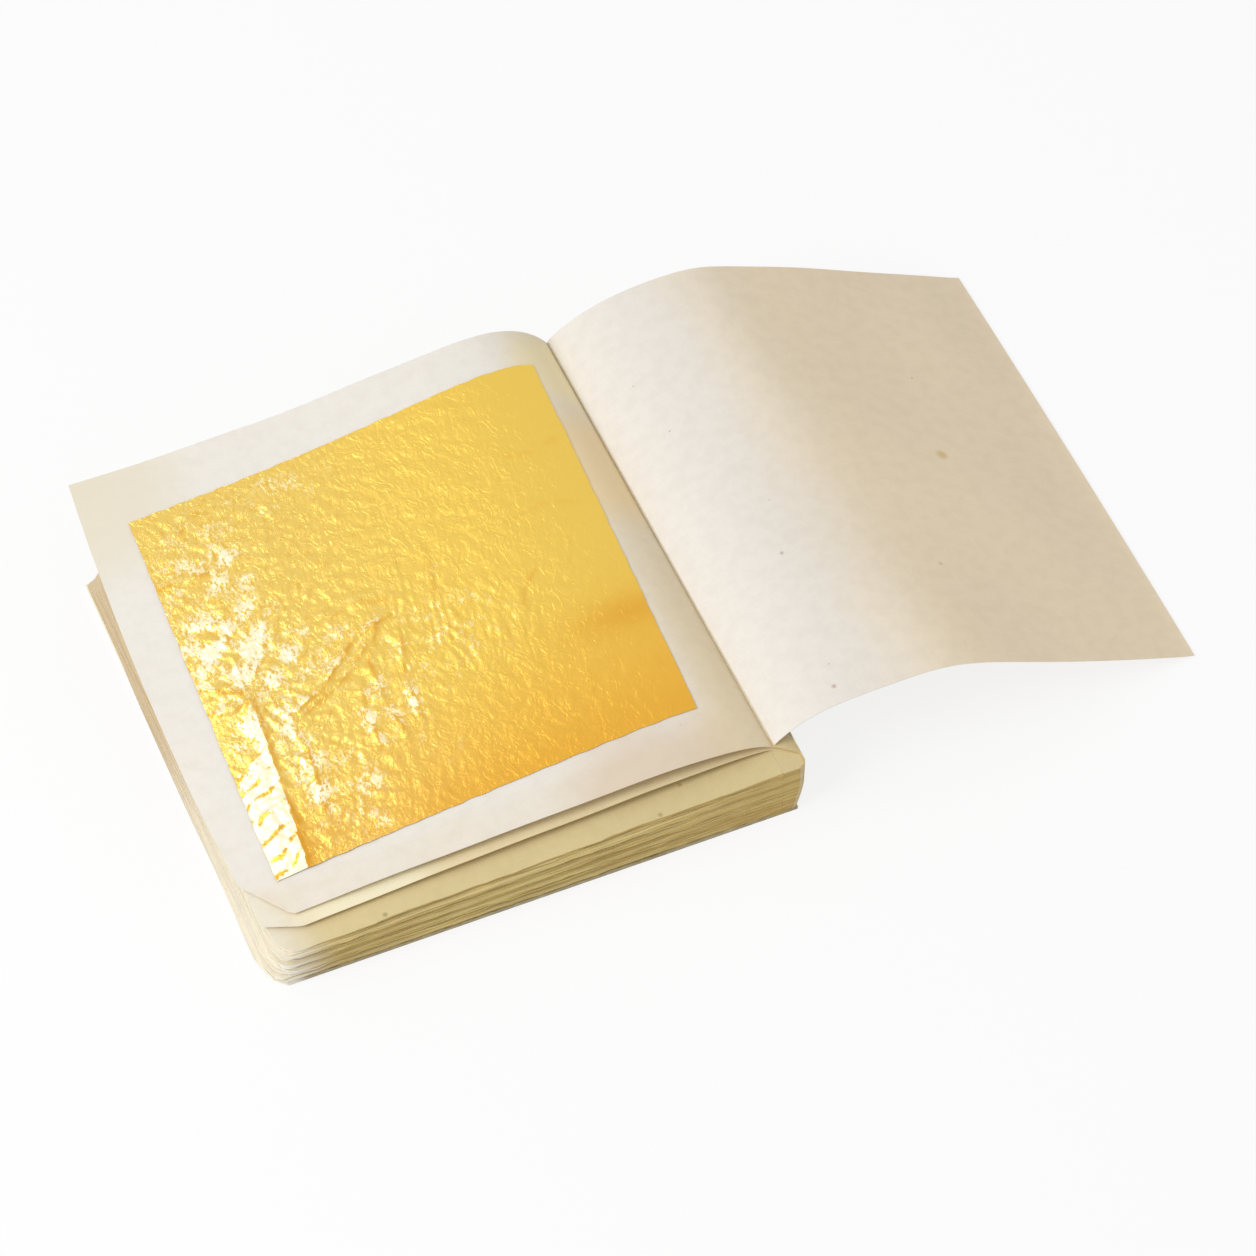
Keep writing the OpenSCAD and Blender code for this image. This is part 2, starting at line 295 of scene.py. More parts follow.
@dataclass(frozen=True)
class PaperFinish:
    """Thin unsized paper: long soft fibres, cloudy look and faint specks, with edge bands that on
    some sheets are painted shade.
    """

    name: str
    fresh: Colour
    aged_and_shaded: Colour
    stains_and_shades: tuple[StainAndShade, ...]
    spared: Optional[StainAndShade] = None
    flecks: tuple[Fleck, ...] = ()
    speck: Colour = tone(168, 134, 78)
    dulling: Colour = (0.90, 0.885, 0.86, 1.0)
    cloudiness: float = 0.38
    fibrousness: float = 0.22
    tooth: float = 0.025

    def _age(self, graph: Graph, point: Wire) -> Wire:
        """How yellowed the paper is at a point, from 0 to 1; on some sheets this is the strength of
        its painted shade.
        """
        wobble = graph.noise(point, 0.09, 2) * 0.3 - 0.15
        total: Value = 0.0
        for stain in self.stains_and_shades:
            total = stain.mask(graph, point) + total
        age_and_shade = graph.step(total + wobble, 0.0, 1.0)
        if self.spared is None:
            return age_and_shade
        return age_and_shade * (1 - self.spared.mask(graph, point))

    def dress(self) -> bpy.types.Material:
        """Build the material."""
        graph = Graph(self.name)
        point = graph.sheet_mm()
        cloud = graph.noise(point, 0.35, 5)
        along = graph.noise(graph.stretched(point, (0.5, 3.2, 1), 20), 1.0, 3, 0.6)
        across = graph.noise(graph.stretched(point, (2.6, 0.6, 1), -15), 1.0, 3, 0.6)
        fibres = along * across
        # Yellowed paper along the edges; on the open page's crease and the turned leaf's far part
        # this is painted shade.
        base = graph.mix(self._age(graph, point), self.fresh, self.aged_and_shaded)
        dull = graph.mix(1.0, base, self.dulling, "MULTIPLY")
        base = graph.mix(graph.step(cloud, 0.38, 0.70) * self.cloudiness, base, dull)
        base = graph.mix((1 - graph.step(fibres, 0.15, 0.34)) * self.fibrousness, base, dull)
        specks = 1 - graph.step(graph.cells(point, 0.14, "F1"), 0.02, 0.03)
        base = graph.mix(specks * 0.5, base, self.speck)
        # Specks and spots; a few spots are painted shade and one is a painted pool of light.
        for fleck in self.flecks:
            far = graph.node(
                "ShaderNodeVectorMath", {"operation": "DISTANCE"},
                {0: point, 1: (*fleck.place, 0.0)}, out="Value",
            )
            inside = 1 - graph.step(far + 0.5 * cloud, 0.4 * fleck.size, fleck.size + 0.4)
            base = graph.mix(inside * fleck.strength, base, fleck.colour)
        normal = graph.bump(cloud + 0.6 * fibres, self.tooth)
        return graph.finish({
            "Base Color": base, "Roughness": 0.82, "Specular IOR Level": 0.25, "Normal": normal,
        })


@dataclass(frozen=True)
class StackFinish:
    """Paper seen on its cut edges, as fine streaks that run along the edge; the deep streaks are
    partly painted shade in the gaps between thin sheets.

    Along the free edge the paper is paler, and painted white at its front corner as a painted
    highlight.
    The front edge is browner towards the spine. Each pair of numbers is where a
    change begins and ends, in millimetres.
    """

    name: str
    pale: Colour
    deep: Colour
    side: Colour = tone(214, 194, 160)
    painted_light_tone: Colour = tone(255, 252, 240)
    handled: Colour = tone(196, 152, 92)
    front_y: Pair = (-46.0, -43.0)
    handled_x: Pair = (10.0, 46.0)
    free_x: Pair = (-49.0, -38.0)
    lit_corner_y: Pair = (-44.0, 12.0)

    def dress(self) -> bpy.types.Material:
        """Build the material."""
        graph = Graph(self.name)
        point = graph.solid_mm()
        streaks = graph.noise(graph.stretched(point, (0.06, 0.06, 7.0)), 1.0, 4)
        layers = graph.noise(graph.stretched(point, (0.035, 0.035, 1.9)), 1.0, 2)
        cloud = graph.noise(point, 0.3, 3)
        x, y, _ = graph.split(point)
        # The deep streaks and dark layer lines are the paper's own tone and partly painted shade in
        # the gaps between thin sheets.
        base = graph.mix(graph.step(streaks, 0.35, 0.65), self.deep, self.pale)
        base = graph.mix(graph.step(cloud, 0.4, 0.7) * 0.3, base, self.deep)
        base = graph.mix(graph.step(layers, 0.50, 0.60) * 0.5, base, self.deep)
        base = graph.mix((1 - graph.step(layers, 0.40, 0.48)) * 0.5, base, self.pale)
        front = 1 - graph.step(y, *self.front_y)
        base = graph.mix(front * graph.step(x, *self.handled_x) * 0.35, base, self.handled)
        free = 1 - graph.step(x, *self.free_x)
        side = graph.mix(graph.step(streaks, 0.3, 0.6) * 0.5, self.side, self.deep)
        base = graph.mix(free, base, side)
        # Painted highlight: the front corner of the free edge is painted nearly white, where the
        # key light from the left falls.
        base = graph.mix(free * (1 - graph.step(y, *self.lit_corner_y)), base, self.painted_light_tone)
        return graph.finish({
            "Base Color": base, "Roughness": 0.85, "Specular IOR Level": 0.2,
            "Normal": graph.bump(streaks, 0.06),
        })


@dataclass(frozen=True)
class CardFinish:
    """Grey card with short fibres, painted pale at its free edge as painted light from the left."""

    name: str = "grey_card"
    pale: Colour = tone(206, 195, 164)
    deep: Colour = tone(168, 152, 118)
    painted_light_tone: Colour = tone(250, 246, 230)
    lit_edge_x: Pair = (-47.0, -44.0)

    def dress(self) -> bpy.types.Material:
        """Build the material."""
        graph = Graph(self.name)
        point = graph.solid_mm()
        fibres = graph.noise(graph.stretched(point, (0.6, 2.4, 4.0), 30), 1.0, 4, 0.8)
        base = graph.mix(graph.step(fibres, 0.3, 0.7), self.deep, self.pale)
        x, _, _ = graph.split(point)
        # Painted light: paler towards the free edge, which faces the key light.
        base = graph.mix(1 - graph.step(x, *self.lit_edge_x), base, self.painted_light_tone)
        return graph.finish({
            "Base Color": base, "Roughness": 0.8, "Specular IOR Level": 0.3,
            "Normal": graph.bump(fibres, 0.06),
        })


@dataclass(frozen=True)
class WireFinish:
    """Drawn steel wire with faint lines and dull spots."""

    name: str = "staple_wire"
    bright: Colour = tone(190, 192, 194)
    dull: Colour = tone(140, 142, 144)

    def dress(self) -> bpy.types.Material:
        """Build the material."""
        graph = Graph(self.name)
        point = graph.solid_mm()
        cloud = graph.noise(point, 1.2, 4)
        lines = graph.noise(graph.stretched(point, (9, 0.5, 9)), 1.0, 2)
        return graph.finish({
            "Base Color": graph.mix(graph.step(cloud, 0.4, 0.7), self.bright, self.dull),
            "Metallic": 1.0, "Roughness": 0.25 + 0.2 * cloud,
            "Normal": graph.bump(lines, 0.01),
        })


@dataclass(frozen=True)
class GoldFinish:
    """Beaten gold leaf, laid by hand: fine crinkles over the wrinkles of the sheet.

    The sheet's own wrinkles come with its mesh, as two attributes: glint, a painted highlight where
    they turn to the light, and shade, a painted shade where they turn away from it. Each pair of
    numbers is where a change begins and ends.
    """

    name: str = "gold_leaf"
    lemon: Colour = tone(233, 197, 91)
    # A painted darker reflection: deeper orange towards the front.
    reflected_amber: Colour = tone(231, 178, 70)
    # The colour of painted shade, in the hollows and where the wrinkles turn away from the light.
    crease: Colour = tone(222, 160, 52)
    # The colour of painted highlights.
    bright: Colour = tone(255, 244, 206)
    slack_x: Pair = (14.0, 60.0)
    front_reflection_y: Pair = (-8.0, 30.0)
    highlight_limit: Pair = (0.57, 0.69)
    drawn_smooth: Pair = (0.9, 1.2)
    crinkle: float = 0.055

    def dress(self) -> bpy.types.Material:
        """Build the material.

        The bright flecks are painted highlights, where soft noise, raised by the glint, passes a
        limit: none where the glint is 0 and nearly everywhere where it is 1. Where it is over 1 the
        foil is drawn smooth. The sheet is slack at its left, where it is painted a little paler as
        a painted highlight and its hollows get painted shade. Its front is painted a deeper orange,
        a painted darker reflection.
        """
        graph = Graph(self.name)
        point = graph.sheet_mm()
        across, along, _ = graph.split(point)
        warp = graph.noise(point, 0.5, 3)
        fine = graph.cells(graph.stretched(point, (1.0, 0.7, 1), 25), 0.7, "DISTANCE_TO_EDGE")
        flake = graph.noise(graph.stretched(point, (1.3, 0.8, 1), 20), 1.0, 3, 0.9)
        grain = graph.noise(graph.stretched(point, (1.2, 0.8, 1), 40), 2.6, 3, 0.5)
        vein = graph.noise(graph.stretched(point, (1.1, 0.9, 1), 65), 0.34, 3, 0.7)
        ridge = 1 - graph.step((vein - 0.5) * (vein - 0.5), 0.0, 0.006)
        # The mesh's painted highlight (glint) and painted shade (shade).
        glint = graph.node("ShaderNodeAttribute", {"attribute_name": "glint"}, out="Fac")
        shade = graph.node("ShaderNodeAttribute", {"attribute_name": "shade"}, out="Fac")
        slack = 1 - graph.step(across - 0.1 * along + 14 * warp, *self.slack_x)
        loose = 0.95 + 0.05 * slack
        height = graph.step(fine, 0.0, 0.35) * 0.4 + 0.8 * flake + 0.25 * grain + 0.5 * ridge
        # Painted darker reflection: deeper orange towards the front.
        front_reflection = 1 - graph.step(along - 0.22 * across + 12 * warp, *self.front_reflection_y)
        base = graph.mix(front_reflection, self.lemon, self.reflected_amber)
        # Painted highlight: a little paler on the slack left.
        base = graph.mix(slack * 0.08, base, self.bright)
        # Painted shade: deeper colour in the hollows of the crinkles on the slack left, and where
        # the wrinkles turn away from the light.
        hollow = 1 - graph.step(flake, 0.34, 0.50)
        base = graph.mix(hollow * slack * 0.35, base, self.crease)
        base = graph.mix(shade, base, self.crease)
        # Painted highlights: bright flecks where the glint lifts the noise past the limit.
        lit = 0.7 * flake + 0.3 * grain + 0.23 * glint
        flecks = graph.step(lit, *self.highlight_limit) * graph.step(glint, 0.03, 0.25)
        base = graph.mix(flecks * graph.step(glint, -0.35, 1.0), base, self.bright)
        taut = 1 - 0.75 * graph.step(glint, *self.drawn_smooth)
        normal = graph.bump(height * loose * taut, self.crinkle)
        return graph.finish({
            "Base Color": base, "Metallic": 1.0,
            "Roughness": 0.30 - 0.08 * slack + 0.06 * warp, "Normal": normal,
        })


PAGE = PaperFinish(
    "open_page_paper", tone(247, 242, 233), tone(242, 225, 192),
    (
        # The crease band is painted shade in the gutter; the front, free and back bands are
        # yellowed paper.
        StainAndShade(Edge.CREASE, 2.0, 17.0, 0.95), StainAndShade(Edge.FRONT, 3.0, 11.0, 0.38),
        StainAndShade(Edge.FREE, 84.0, 97.0, 0.15), StainAndShade(Edge.BACK, 84.0, 97.0, 0.2),
    ),
    # This spares the bands towards the back, the gutter's painted shade among them.
    StainAndShade(Edge.BACK, 20.0, 98.0, 0.55),
    (
        Fleck((93.0, 96.0), 26.0, tone(238, 228, 202), 0.7),
        Fleck((22.0, -4.0), 22.0, tone(226, 200, 168), 0.55),
        # These two spots are painted yellowish shade in the gutter, at the back.
        Fleck((3.0, 66.0), 18.0, tone(250, 224, 174), 0.8),
        Fleck((1.0, 90.0), 12.0, tone(255, 238, 190), 0.8),
    ),
)
SECOND = PaperFinish(
    "second_page_paper", tone(246, 238, 218), tone(246, 228, 184),
    (StainAndShade(Edge.FRONT, 5.0, 13.0),), StainAndShade(Edge.FREE, 82.0, 94.0),
    # A painted pool of light on the front margin's left, where the open page shades it.
    (Fleck((76.0, 2.0), 16.0, tone(255, 246, 212), 0.9),),
)
TURNED = PaperFinish(
    "turned_leaf_paper", tone(245, 239, 230), tone(253, 235, 205),
    # The band towards the free edge is painted shade: tan where the leaf slopes away from the key
    # light.
    (StainAndShade(Edge.FREE, 6.0, 46.0),),
    flecks=(
        Fleck((55.9, 50.2), 1.4, tone(234, 204, 148), 0.9),
        Fleck((16.1, 32.8), 0.5, tone(176, 166, 156)),
        Fleck((42.8, 23.7), 0.5, tone(206, 184, 148), 0.5),
        Fleck((12.6, 3.6), 0.5, tone(186, 146, 130)),
    ),
)
STACKED = PaperFinish(
    "stacked_paper", tone(246, 238, 218), tone(229, 210, 158),
    (StainAndShade(Edge.FRONT, 5.0, 15.0),), StainAndShade(Edge.FREE, 84.0, 95.0, 0.9),
    # Painted shade, wide, at the back of the free edge, where the lifted open page overhangs.
    (Fleck((97.0, 78.0), 42.0, tone(222, 202, 166), 0.75),),
)
TOP_LEAF = replace(
    STACKED, name="top_leaf_paper",
    flecks=STACKED.flecks + (
        Fleck((74.7, 0.8), 0.6, tone(150, 136, 78)),
        Fleck((17.6, 5.1), 0.5, tone(160, 150, 92)),
        Fleck((23.2, 0.8), 0.6, tone(158, 142, 86)),
    ),
)
MARGIN = PaperFinish(
    "margin_paper", tone(240, 229, 204), tone(229, 210, 160), (StainAndShade(Edge.FRONT, 4.0, 10.0),)
)
EDGES = StackFinish("paper_edges", tone(242, 224, 152), tone(188, 158, 86))
# The spine strip is pale paper, brightened as painted light for its right side, which the lamps
# leave dim.
SPINE = StackFinish("spine_strip_paper", tone(244, 234, 196), tone(224, 210, 164))


# Relief


def soft_noise(
    x: np.ndarray, y: np.ndarray, length: float, seed: int, waves: int = 9
) -> np.ndarray:
    """Soft random relief, mostly between -1 and 1.

    Plane sine waves of about one length are added, with directions and phases
    drawn from the seed, and the sum is divided by the root of half their number.

    Args:
        x: First coordinate.
        y: Second coordinate, of the same shape.
        length: Wavelength, in the unit of x and y.
        seed: Seed of the directions and phases.
        waves: Number of waves.

    Returns:
        The relief, in the shape of x.
    """
    rng = np.random.default_rng(seed)
    turns = rng.uniform(0, 2 * np.pi, waves)
    phases = rng.uniform(0, 2 * np.pi, waves)
    k = 2 * np.pi / (length * rng.uniform(0.7, 1.4, waves))
    arg = np.multiply.outer(x, k * np.cos(turns)) + np.multiply.outer(y, k * np.sin(turns))
    return np.sin(arg + phases).sum(-1) / math.sqrt(waves / 2)


def fold(t: np.ndarray) -> np.ndarray:
    """A sharp-ridged wave of period 1: twice the distance to the nearest whole number."""
    return 2 * np.abs(t - np.round(t))


def crumple(x: np.ndarray, y: np.ndarray, length: float, seed: int, folds: int = 5) -> np.ndarray:
    """Crumpled foil: sharp folds in random directions, bent by soft noise.

    Each fold wave runs over the distance along its direction, divided by its
    length, plus 0.45 of soft noise. It is centred on zero and faded out in
    patches, and the sum is divided by the root of the number of waves.

    Args:
        x: First coordinate.
        y: Second coordinate.
        length: Distance between folds.
        seed: Seed of the directions.
        folds: Number of fold waves.

    Returns:
        The relief, mostly between -0.5 and 0.5.
    """
    rng = np.random.default_rng(seed)
    total = np.zeros_like(x)
    for i in range(folds):
        turn = rng.uniform(0, np.pi)
        size = length * rng.uniform(0.75, 1.5)
        along = (x * math.cos(turn) + y * math.sin(turn)) / size
        bend = soft_noise(x, y, 3.2 * length, seed + 31 * i + 1)
        patch = 0.5 + 0.5 * np.tanh(1.5 * soft_noise(x, y, 5 * length, seed + 57 * i + 2))
        total += (fold(along + 0.45 * bend) - 0.5) * patch
    return total / math.sqrt(folds)


def crease(
    x: np.ndarray, y: np.ndarray, path: Sequence[Pair], left: float, right: float
) -> np.ndarray:
    """A ridge along a bent line: 1 on the line, falling as exp(-distance / width).

    Args:
        x: First coordinate.
        y: Second coordinate.
        path: Corners of the line.
        left: Distance in which the ridge falls to about a third, left of the line
            as seen along it.
        right: The same to its right.

    Returns:
        The ridge's height, from 0 to 1.
    """
    best = np.full_like(x, 1e9)
    side = np.zeros_like(x)
    for (ax, ay), (bx, by) in zip(path, path[1:]):
        dx, dy = bx - ax, by - ay
        t = np.clip(((x - ax) * dx + (y - ay) * dy) / (dx * dx + dy * dy), 0, 1)
        far = np.hypot(x - ax - t * dx, y - ay - t * dy)
        cross = dx * (y - ay) - dy * (x - ax)
        side = np.where(far < best, cross, side)
        best = np.minimum(best, far)
    return np.exp(-best / np.where(side > 0, left, right))


def rise(height: float, length: float, d: np.ndarray) -> np.ndarray:
    """A rise that flattens out: height times (1 - exp(-d / length))."""
    return height * (1 - np.exp(-d / length))


def softplus(t: np.ndarray) -> np.ndarray:
    """A soft corner: the logarithm of 1 + exp(t)."""
    return np.logaddexp(0, t)


def blend(first: np.ndarray, second: np.ndarray, t: np.ndarray) -> np.ndarray:
    """First at t = 0 and second at t = 1, in a straight line between them."""
    return first + (second - first) * t


def unit(t: np.ndarray) -> np.ndarray:
    """A number kept from 0 to 1."""
    return np.clip(t, 0, 1)


def belly(v: np.ndarray) -> np.ndarray:
    """0 at both ends and 1 half way: 4 v (1 - v)."""
    return 4 * v * (1 - v)


def quarter(t: np.ndarray) -> np.ndarray:
    """How far a quarter circle of radius 1 has fallen at t: 1 - sqrt(1 - t squared)."""
    return 1 - np.sqrt(1 - t**2)


def spot(a: np.ndarray, b: np.ndarray, centre: Pair, size: Pair) -> np.ndarray:
    """A soft spot: exp(-r squared), with r counted in its size on each axis."""
    return np.exp(-(((a - centre[0]) / size[0]) ** 2) - ((b - centre[1]) / size[1]) ** 2)


def scatter(amount: float, degrees: float, k: int) -> float:
    """A shift that differs from sheet to sheet: amount * sin(degrees * k)."""
    return amount * math.sin(math.radians(degrees * k))


def lattice(rows: int, cols: int) -> tuple[np.ndarray, np.ndarray]:
    """A row and a column of numbers from 0 to 1, which make a grid together."""
    return np.linspace(0, 1, cols)[None, :], np.linspace(0, 1, rows)[:, None]


def grid_of(*parts: np.ndarray) -> np.ndarray:
    """A grid of points from their coordinates, each spread to the full shape."""
    return np.stack(np.broadcast_arrays(*parts), -1)


# Meshes


def build_mesh(
    name: str,
    points: np.ndarray,
    faces: Sequence[Sequence[int]],
    materials: Sequence[bpy.types.Material],
    uv: Optional[np.ndarray] = None,
    rim: Optional[np.ndarray] = None,
    marks: Optional[Mapping[str, np.ndarray]] = None,
) -> bpy.types.Object:
    """Put points and faces into a mesh object that sits at the origin.

    Args:
        name: The object's name.
        points: Points in millimetres, one row each.
        faces: Point numbers of each face, anticlockwise seen from outside.
        materials: Its materials.
        uv: A sheet coordinate in millimetres for each point.
        rim: True for each point on a sharp rim.
        marks: Named numbers for each point, which a material can read.

    Returns:
        The new object.
    """
    mesh = bpy.data.meshes.new(name)
    mesh.from_pydata((points * MM).tolist(), [], faces)
    mesh.polygons.foreach_set("use_smooth", np.ones(len(mesh.polygons), bool))
    if uv is not None:
        corners = np.empty(len(mesh.loops), np.int32)
        mesh.loops.foreach_get("vertex_index", corners)
        layer = mesh.uv_layers.new(name="UVMap")
        layer.data.foreach_set("uv", (uv[corners] / UV_SPAN).astype(np.float32).ravel())
    if rim is not None:
        ends = np.empty(2 * len(mesh.edges), np.int32)
        mesh.edges.foreach_get("vertices", ends)
        ends = ends.reshape(-1, 2)
        sharp = mesh.attributes.new("sharp_edge", "BOOLEAN", "EDGE")
        sharp.data.foreach_set("value", rim[ends[:, 0]] & rim[ends[:, 1]])
    for key, values in (marks or {}).items():
        mark = mesh.attributes.new(key, "FLOAT", "POINT")
        mark.data.foreach_set("value", values.astype(np.float32))
    mesh.update()
    for material in materials:
        mesh.materials.append(material)
    obj = bpy.data.objects.new(name, mesh)
    bpy.context.scene.collection.objects.link(obj)
    return obj


def closed_sheet(
    name: str,
    top: np.ndarray,
    thickness: Union[float, np.ndarray],
    uv: np.ndarray,
    material: bpy.types.Material,
    edges: Optional[bpy.types.Material] = None,
    marks: Optional[Mapping[str, np.ndarray]] = None,
) -> bpy.types.Object:
    """Make a closed thin sheet from a grid of points on its upper face.

    The lower face is the upper one let down by the thickness, and four strips
    of faces close the rim.

    Args:
        name: The object's name.
        top: Grid of points, rows from front to back, each row towards +X.
        thickness: One thickness, or one for each point.
        uv: Sheet coordinates of the grid.
        material: The sheet's material.
        edges: The material of its rim, if that differs.
        marks: Named grids of numbers, which a material can read.

    Returns:
        The new object.
    """
    rows, cols = top.shape[:2]
    n = rows * cols
    low = top.copy()
    low[..., 2] -= thickness
    t = np.arange(n).reshape(rows, cols)
    b = t + n

    def quads(*corners: np.ndarray) -> np.ndarray:
        """Faces from four arrays of corners."""
        return np.stack([c.ravel() for c in corners], -1)

    faces = np.concatenate([
        quads(t[:-1, :-1], t[:-1, 1:], t[1:, 1:], t[1:, :-1]),
        quads(b[:-1, :-1], b[1:, :-1], b[1:, 1:], b[:-1, 1:]),
        quads(b[0, :-1], b[0, 1:], t[0, 1:], t[0, :-1]),
        quads(t[-1, :-1], t[-1, 1:], b[-1, 1:], b[-1, :-1]),
        quads(b[1:, 0], b[:-1, 0], t[:-1, 0], t[1:, 0]),
        quads(b[:-1, -1], b[1:, -1], t[1:, -1], t[:-1, -1]),
    ])
    edge = np.zeros((rows, cols), bool)
    edge[[0, -1], :] = True
    edge[:, [0, -1]] = True
    points = np.concatenate([top.reshape(-1, 3), low.reshape(-1, 3)])
    flat = uv.reshape(-1, 2)
    obj = build_mesh(
        name, points, faces.tolist(), [material] + ([edges] if edges else []),
        np.concatenate([flat, flat]), np.concatenate([edge.ravel(), edge.ravel()]),
        {key: np.concatenate([grid.ravel(), grid.ravel()]) for key, grid in (marks or {}).items()},
    )
    if edges:
        slots = np.zeros(len(faces), np.int32)
        slots[2 * (rows - 1) * (cols - 1):] = 1
        obj.data.polygons.foreach_set("material_index", slots)
    return obj


def closed_bar(
    name: str, first: np.ndarray, second: np.ndarray, material: bpy.types.Material
) -> bpy.types.Object:
    """Make a closed bar with two curved sides, sharp corners and flat ends.

    A row of points on the first side and one on the second make an outline,
    anticlockwise seen from the front. The outlines follow from front to back.

    Args:
        name: The object's name.
        first: Grid of points on one side.
        second: Grid of points on the other, each row in the other direction.
        material: The bar's material.

    Returns:
        The new object.
    """
    loops = np.concatenate([first, second], 1)
    stations, around = loops.shape[:2]
    half = first.shape[1]
    ids = np.arange(stations * around).reshape(stations, around)
    turned = np.roll(ids, -1, axis=1)
    sides = np.stack([
        ids[:-1].ravel(), ids[1:].ravel(), turned[1:].ravel(), turned[:-1].ravel()
    ], -1)
    faces = sides.tolist() + [ids[0].tolist(), ids[-1][::-1].tolist()]
    rim = np.zeros((stations, around), bool)
    rim[[0, -1]] = True
    rim[:, [0, half - 1, half, around - 1]] = True
    return build_mesh(name, loops.reshape(-1, 3), faces, [material], rim=rim.ravel())


# The booklet


@dataclass
class Gutter:
    """The fold where the open page meets the turned leaf."""

    front: Point = (45.8, -43.1, 13.5)
    back: Point = (44.3, 55.5, 19.1)

    @property
    def depth(self) -> float:
        """Length of the fold from front to back."""
        return self.back[1] - self.front[1]

    def at(self, v: np.ndarray) -> tuple[np.ndarray, np.ndarray, np.ndarray]:
        """Point of the fold, from v = 0 at the front to v = 1 at the back."""
        x, y, z = (blend(a, b, v) for a, b in zip(self.front, self.back))
        return x, y, z

    def bend(
        self, obj: bpy.types.Object, still: str, turning: str, start: float, end: float
    ) -> None:
        """Bake the sheet's place into its mesh; no bend along the fold is made here.

        Args:
            obj: The sheet.
            still: Not used.
            turning: Not used.
            start: Where a bend would begin, to the left of the fold; nothing comes of it.
            end: Where a bend would end, to the left of the fold; nothing comes of it.
        """
        x, y, z = ((a + b) / 2 for a, b in zip(self.front, self.back))
        slant = (self.back[0] - self.front[0]) / self.depth
        places = (((x - s) * MM, (y + slant * s) * MM, z * MM) for s in (start, end))
        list(places)
        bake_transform(obj)


@dataclass
class LoosePage:
    """A page that lies open on the left: it rises out of the gutter and sinks to its edge.

    Its height at d from the gutter is, at the front, a rise that flattens out
    less a fall that grows with d to the power 1.5, and at the back a steeper
    rise less a slump. Between front and back it is blended in a straight line,
    and its free edge sags in the middle.
    """

    name: str
    under: str
    body: str
    finish: PaperFinish
    front_start: float
    front_rise: float
    front_fall: float
    back_start: float
    back_rise: float
    back_slump: float
    sag: float
    yaw: float
    front_shift: float
    ear_share: float
    trim: float
    cockle: float
    seed: int
    gutter: Gutter = field(default_factory=Gutter)
    crease_x: float = 45.0
    hinge_gap: float = 0.7
    tuck: float = 0.5
    soft: float = 1.0
    width: float = 95.5
    narrowing: float = 2.3
    bulge: float = 1.8
    front_bend: float = 5.0
    front_reach: float = 93.0
    back_bend: float = 7.0
    back_reach: float = 43.0
    sag_reach: float = 95.0
    cockle_length: float = 26.0
    cockle_reach: float = 5.0
    ear: Pair = (6.0, 9.0)
    paper: float = 0.12
    rows: int = 90
    cols: int = 130

    def height(self, d: np.ndarray, v: np.ndarray) -> np.ndarray:
        """Height of the upper face at d from the gutter and v from the front."""
        far = np.maximum(d, 0)
        front = self.gutter.front[2] + self.front_start + rise(self.front_rise, self.front_bend, d)
        front = front - self.front_fall * (far / self.front_reach) ** 1.5
        slump = self.back_slump * (1 - np.exp(-((far / self.back_reach) ** 1.7)))
        back = self.gutter.back[2] + self.back_start + rise(self.back_rise, self.back_bend, d)
        return blend(front, back - slump, v) - self.sag * belly(v) * (d / self.sag_reach) ** 2

    def page_width(self, v: np.ndarray) -> np.ndarray:
        """Width at v: narrower at the back, and bowed out in the middle."""
        return self.width - self.narrowing * v + self.bulge * belly(v) - self.trim

    def locate(self, x: np.ndarray, y: np.ndarray) -> tuple[np.ndarray, np.ndarray]:
        """How far from the gutter, and what share of the way to the back, points lie."""
        along = y - self.gutter.front[1] - self.front_shift - self.yaw * (self.crease_x - x)
        v = along / self.gutter.depth
        return self.gutter.at(v)[0] - self.hinge_gap - x, v

    def grid(self) -> tuple[np.ndarray, np.ndarray]:
        """Points of the upper face and their distances from the gutter and the front.

        The columns lie closer together at the gutter.
        """
        u, v = lattice(self.rows, self.cols)
        u = u[:, ::-1] ** 1.25
        wide = self.page_width(v)
        cut = self.ear_share * self.ear[1] / self.gutter.depth
        past = np.maximum(0, u * wide - wide + self.ear[0]) / self.ear[0]
        w = v + cut * past * (1 - v)
        d = u * (self.page_width(w) + self.tuck) - self.tuck
        gx, gy, _ = self.gutter.at(w)
        x = gx - self.hinge_gap - d
        y = gy + self.front_shift + self.yaw * d
        near = np.minimum(np.minimum(w, 1 - w) * self.gutter.depth, self.page_width(w) - d)
        near = np.clip(near, 0, None)
        ripple = self.cockle * np.exp(-near / self.cockle_reach)
        ripple = ripple * soft_noise(d, y, self.cockle_length, self.seed) * unit(d / 12)
        z = self.height(d, w) + ripple
        return grid_of(x, y, z), grid_of(d, w * self.gutter.depth)

    def build(self) -> bpy.types.Object:
        """Make the page, in place of its solid."""
        points, uv = self.grid()
        obj = closed_sheet(self.name, points, self.paper, uv, self.finish.dress())
        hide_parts(self.body)
        self.gutter.bend(
            obj, self.under, self.body, self.hinge_gap - self.tuck, self.hinge_gap + self.soft
        )
        return obj


def open_page() -> LoosePage:
    """The upper page, which carries the shown gold."""
    return LoosePage(
        "open_page_sheet", "second_page", "open_page", PAGE,
        front_start=-0.4, front_rise=3.4, front_fall=6.1,
        back_start=-0.2, back_rise=10.1, back_slump=10.0,
        sag=1.3, yaw=0.0136, front_shift=0.0, ear_share=1.0, trim=0.0, cockle=0.10, seed=3,
    )


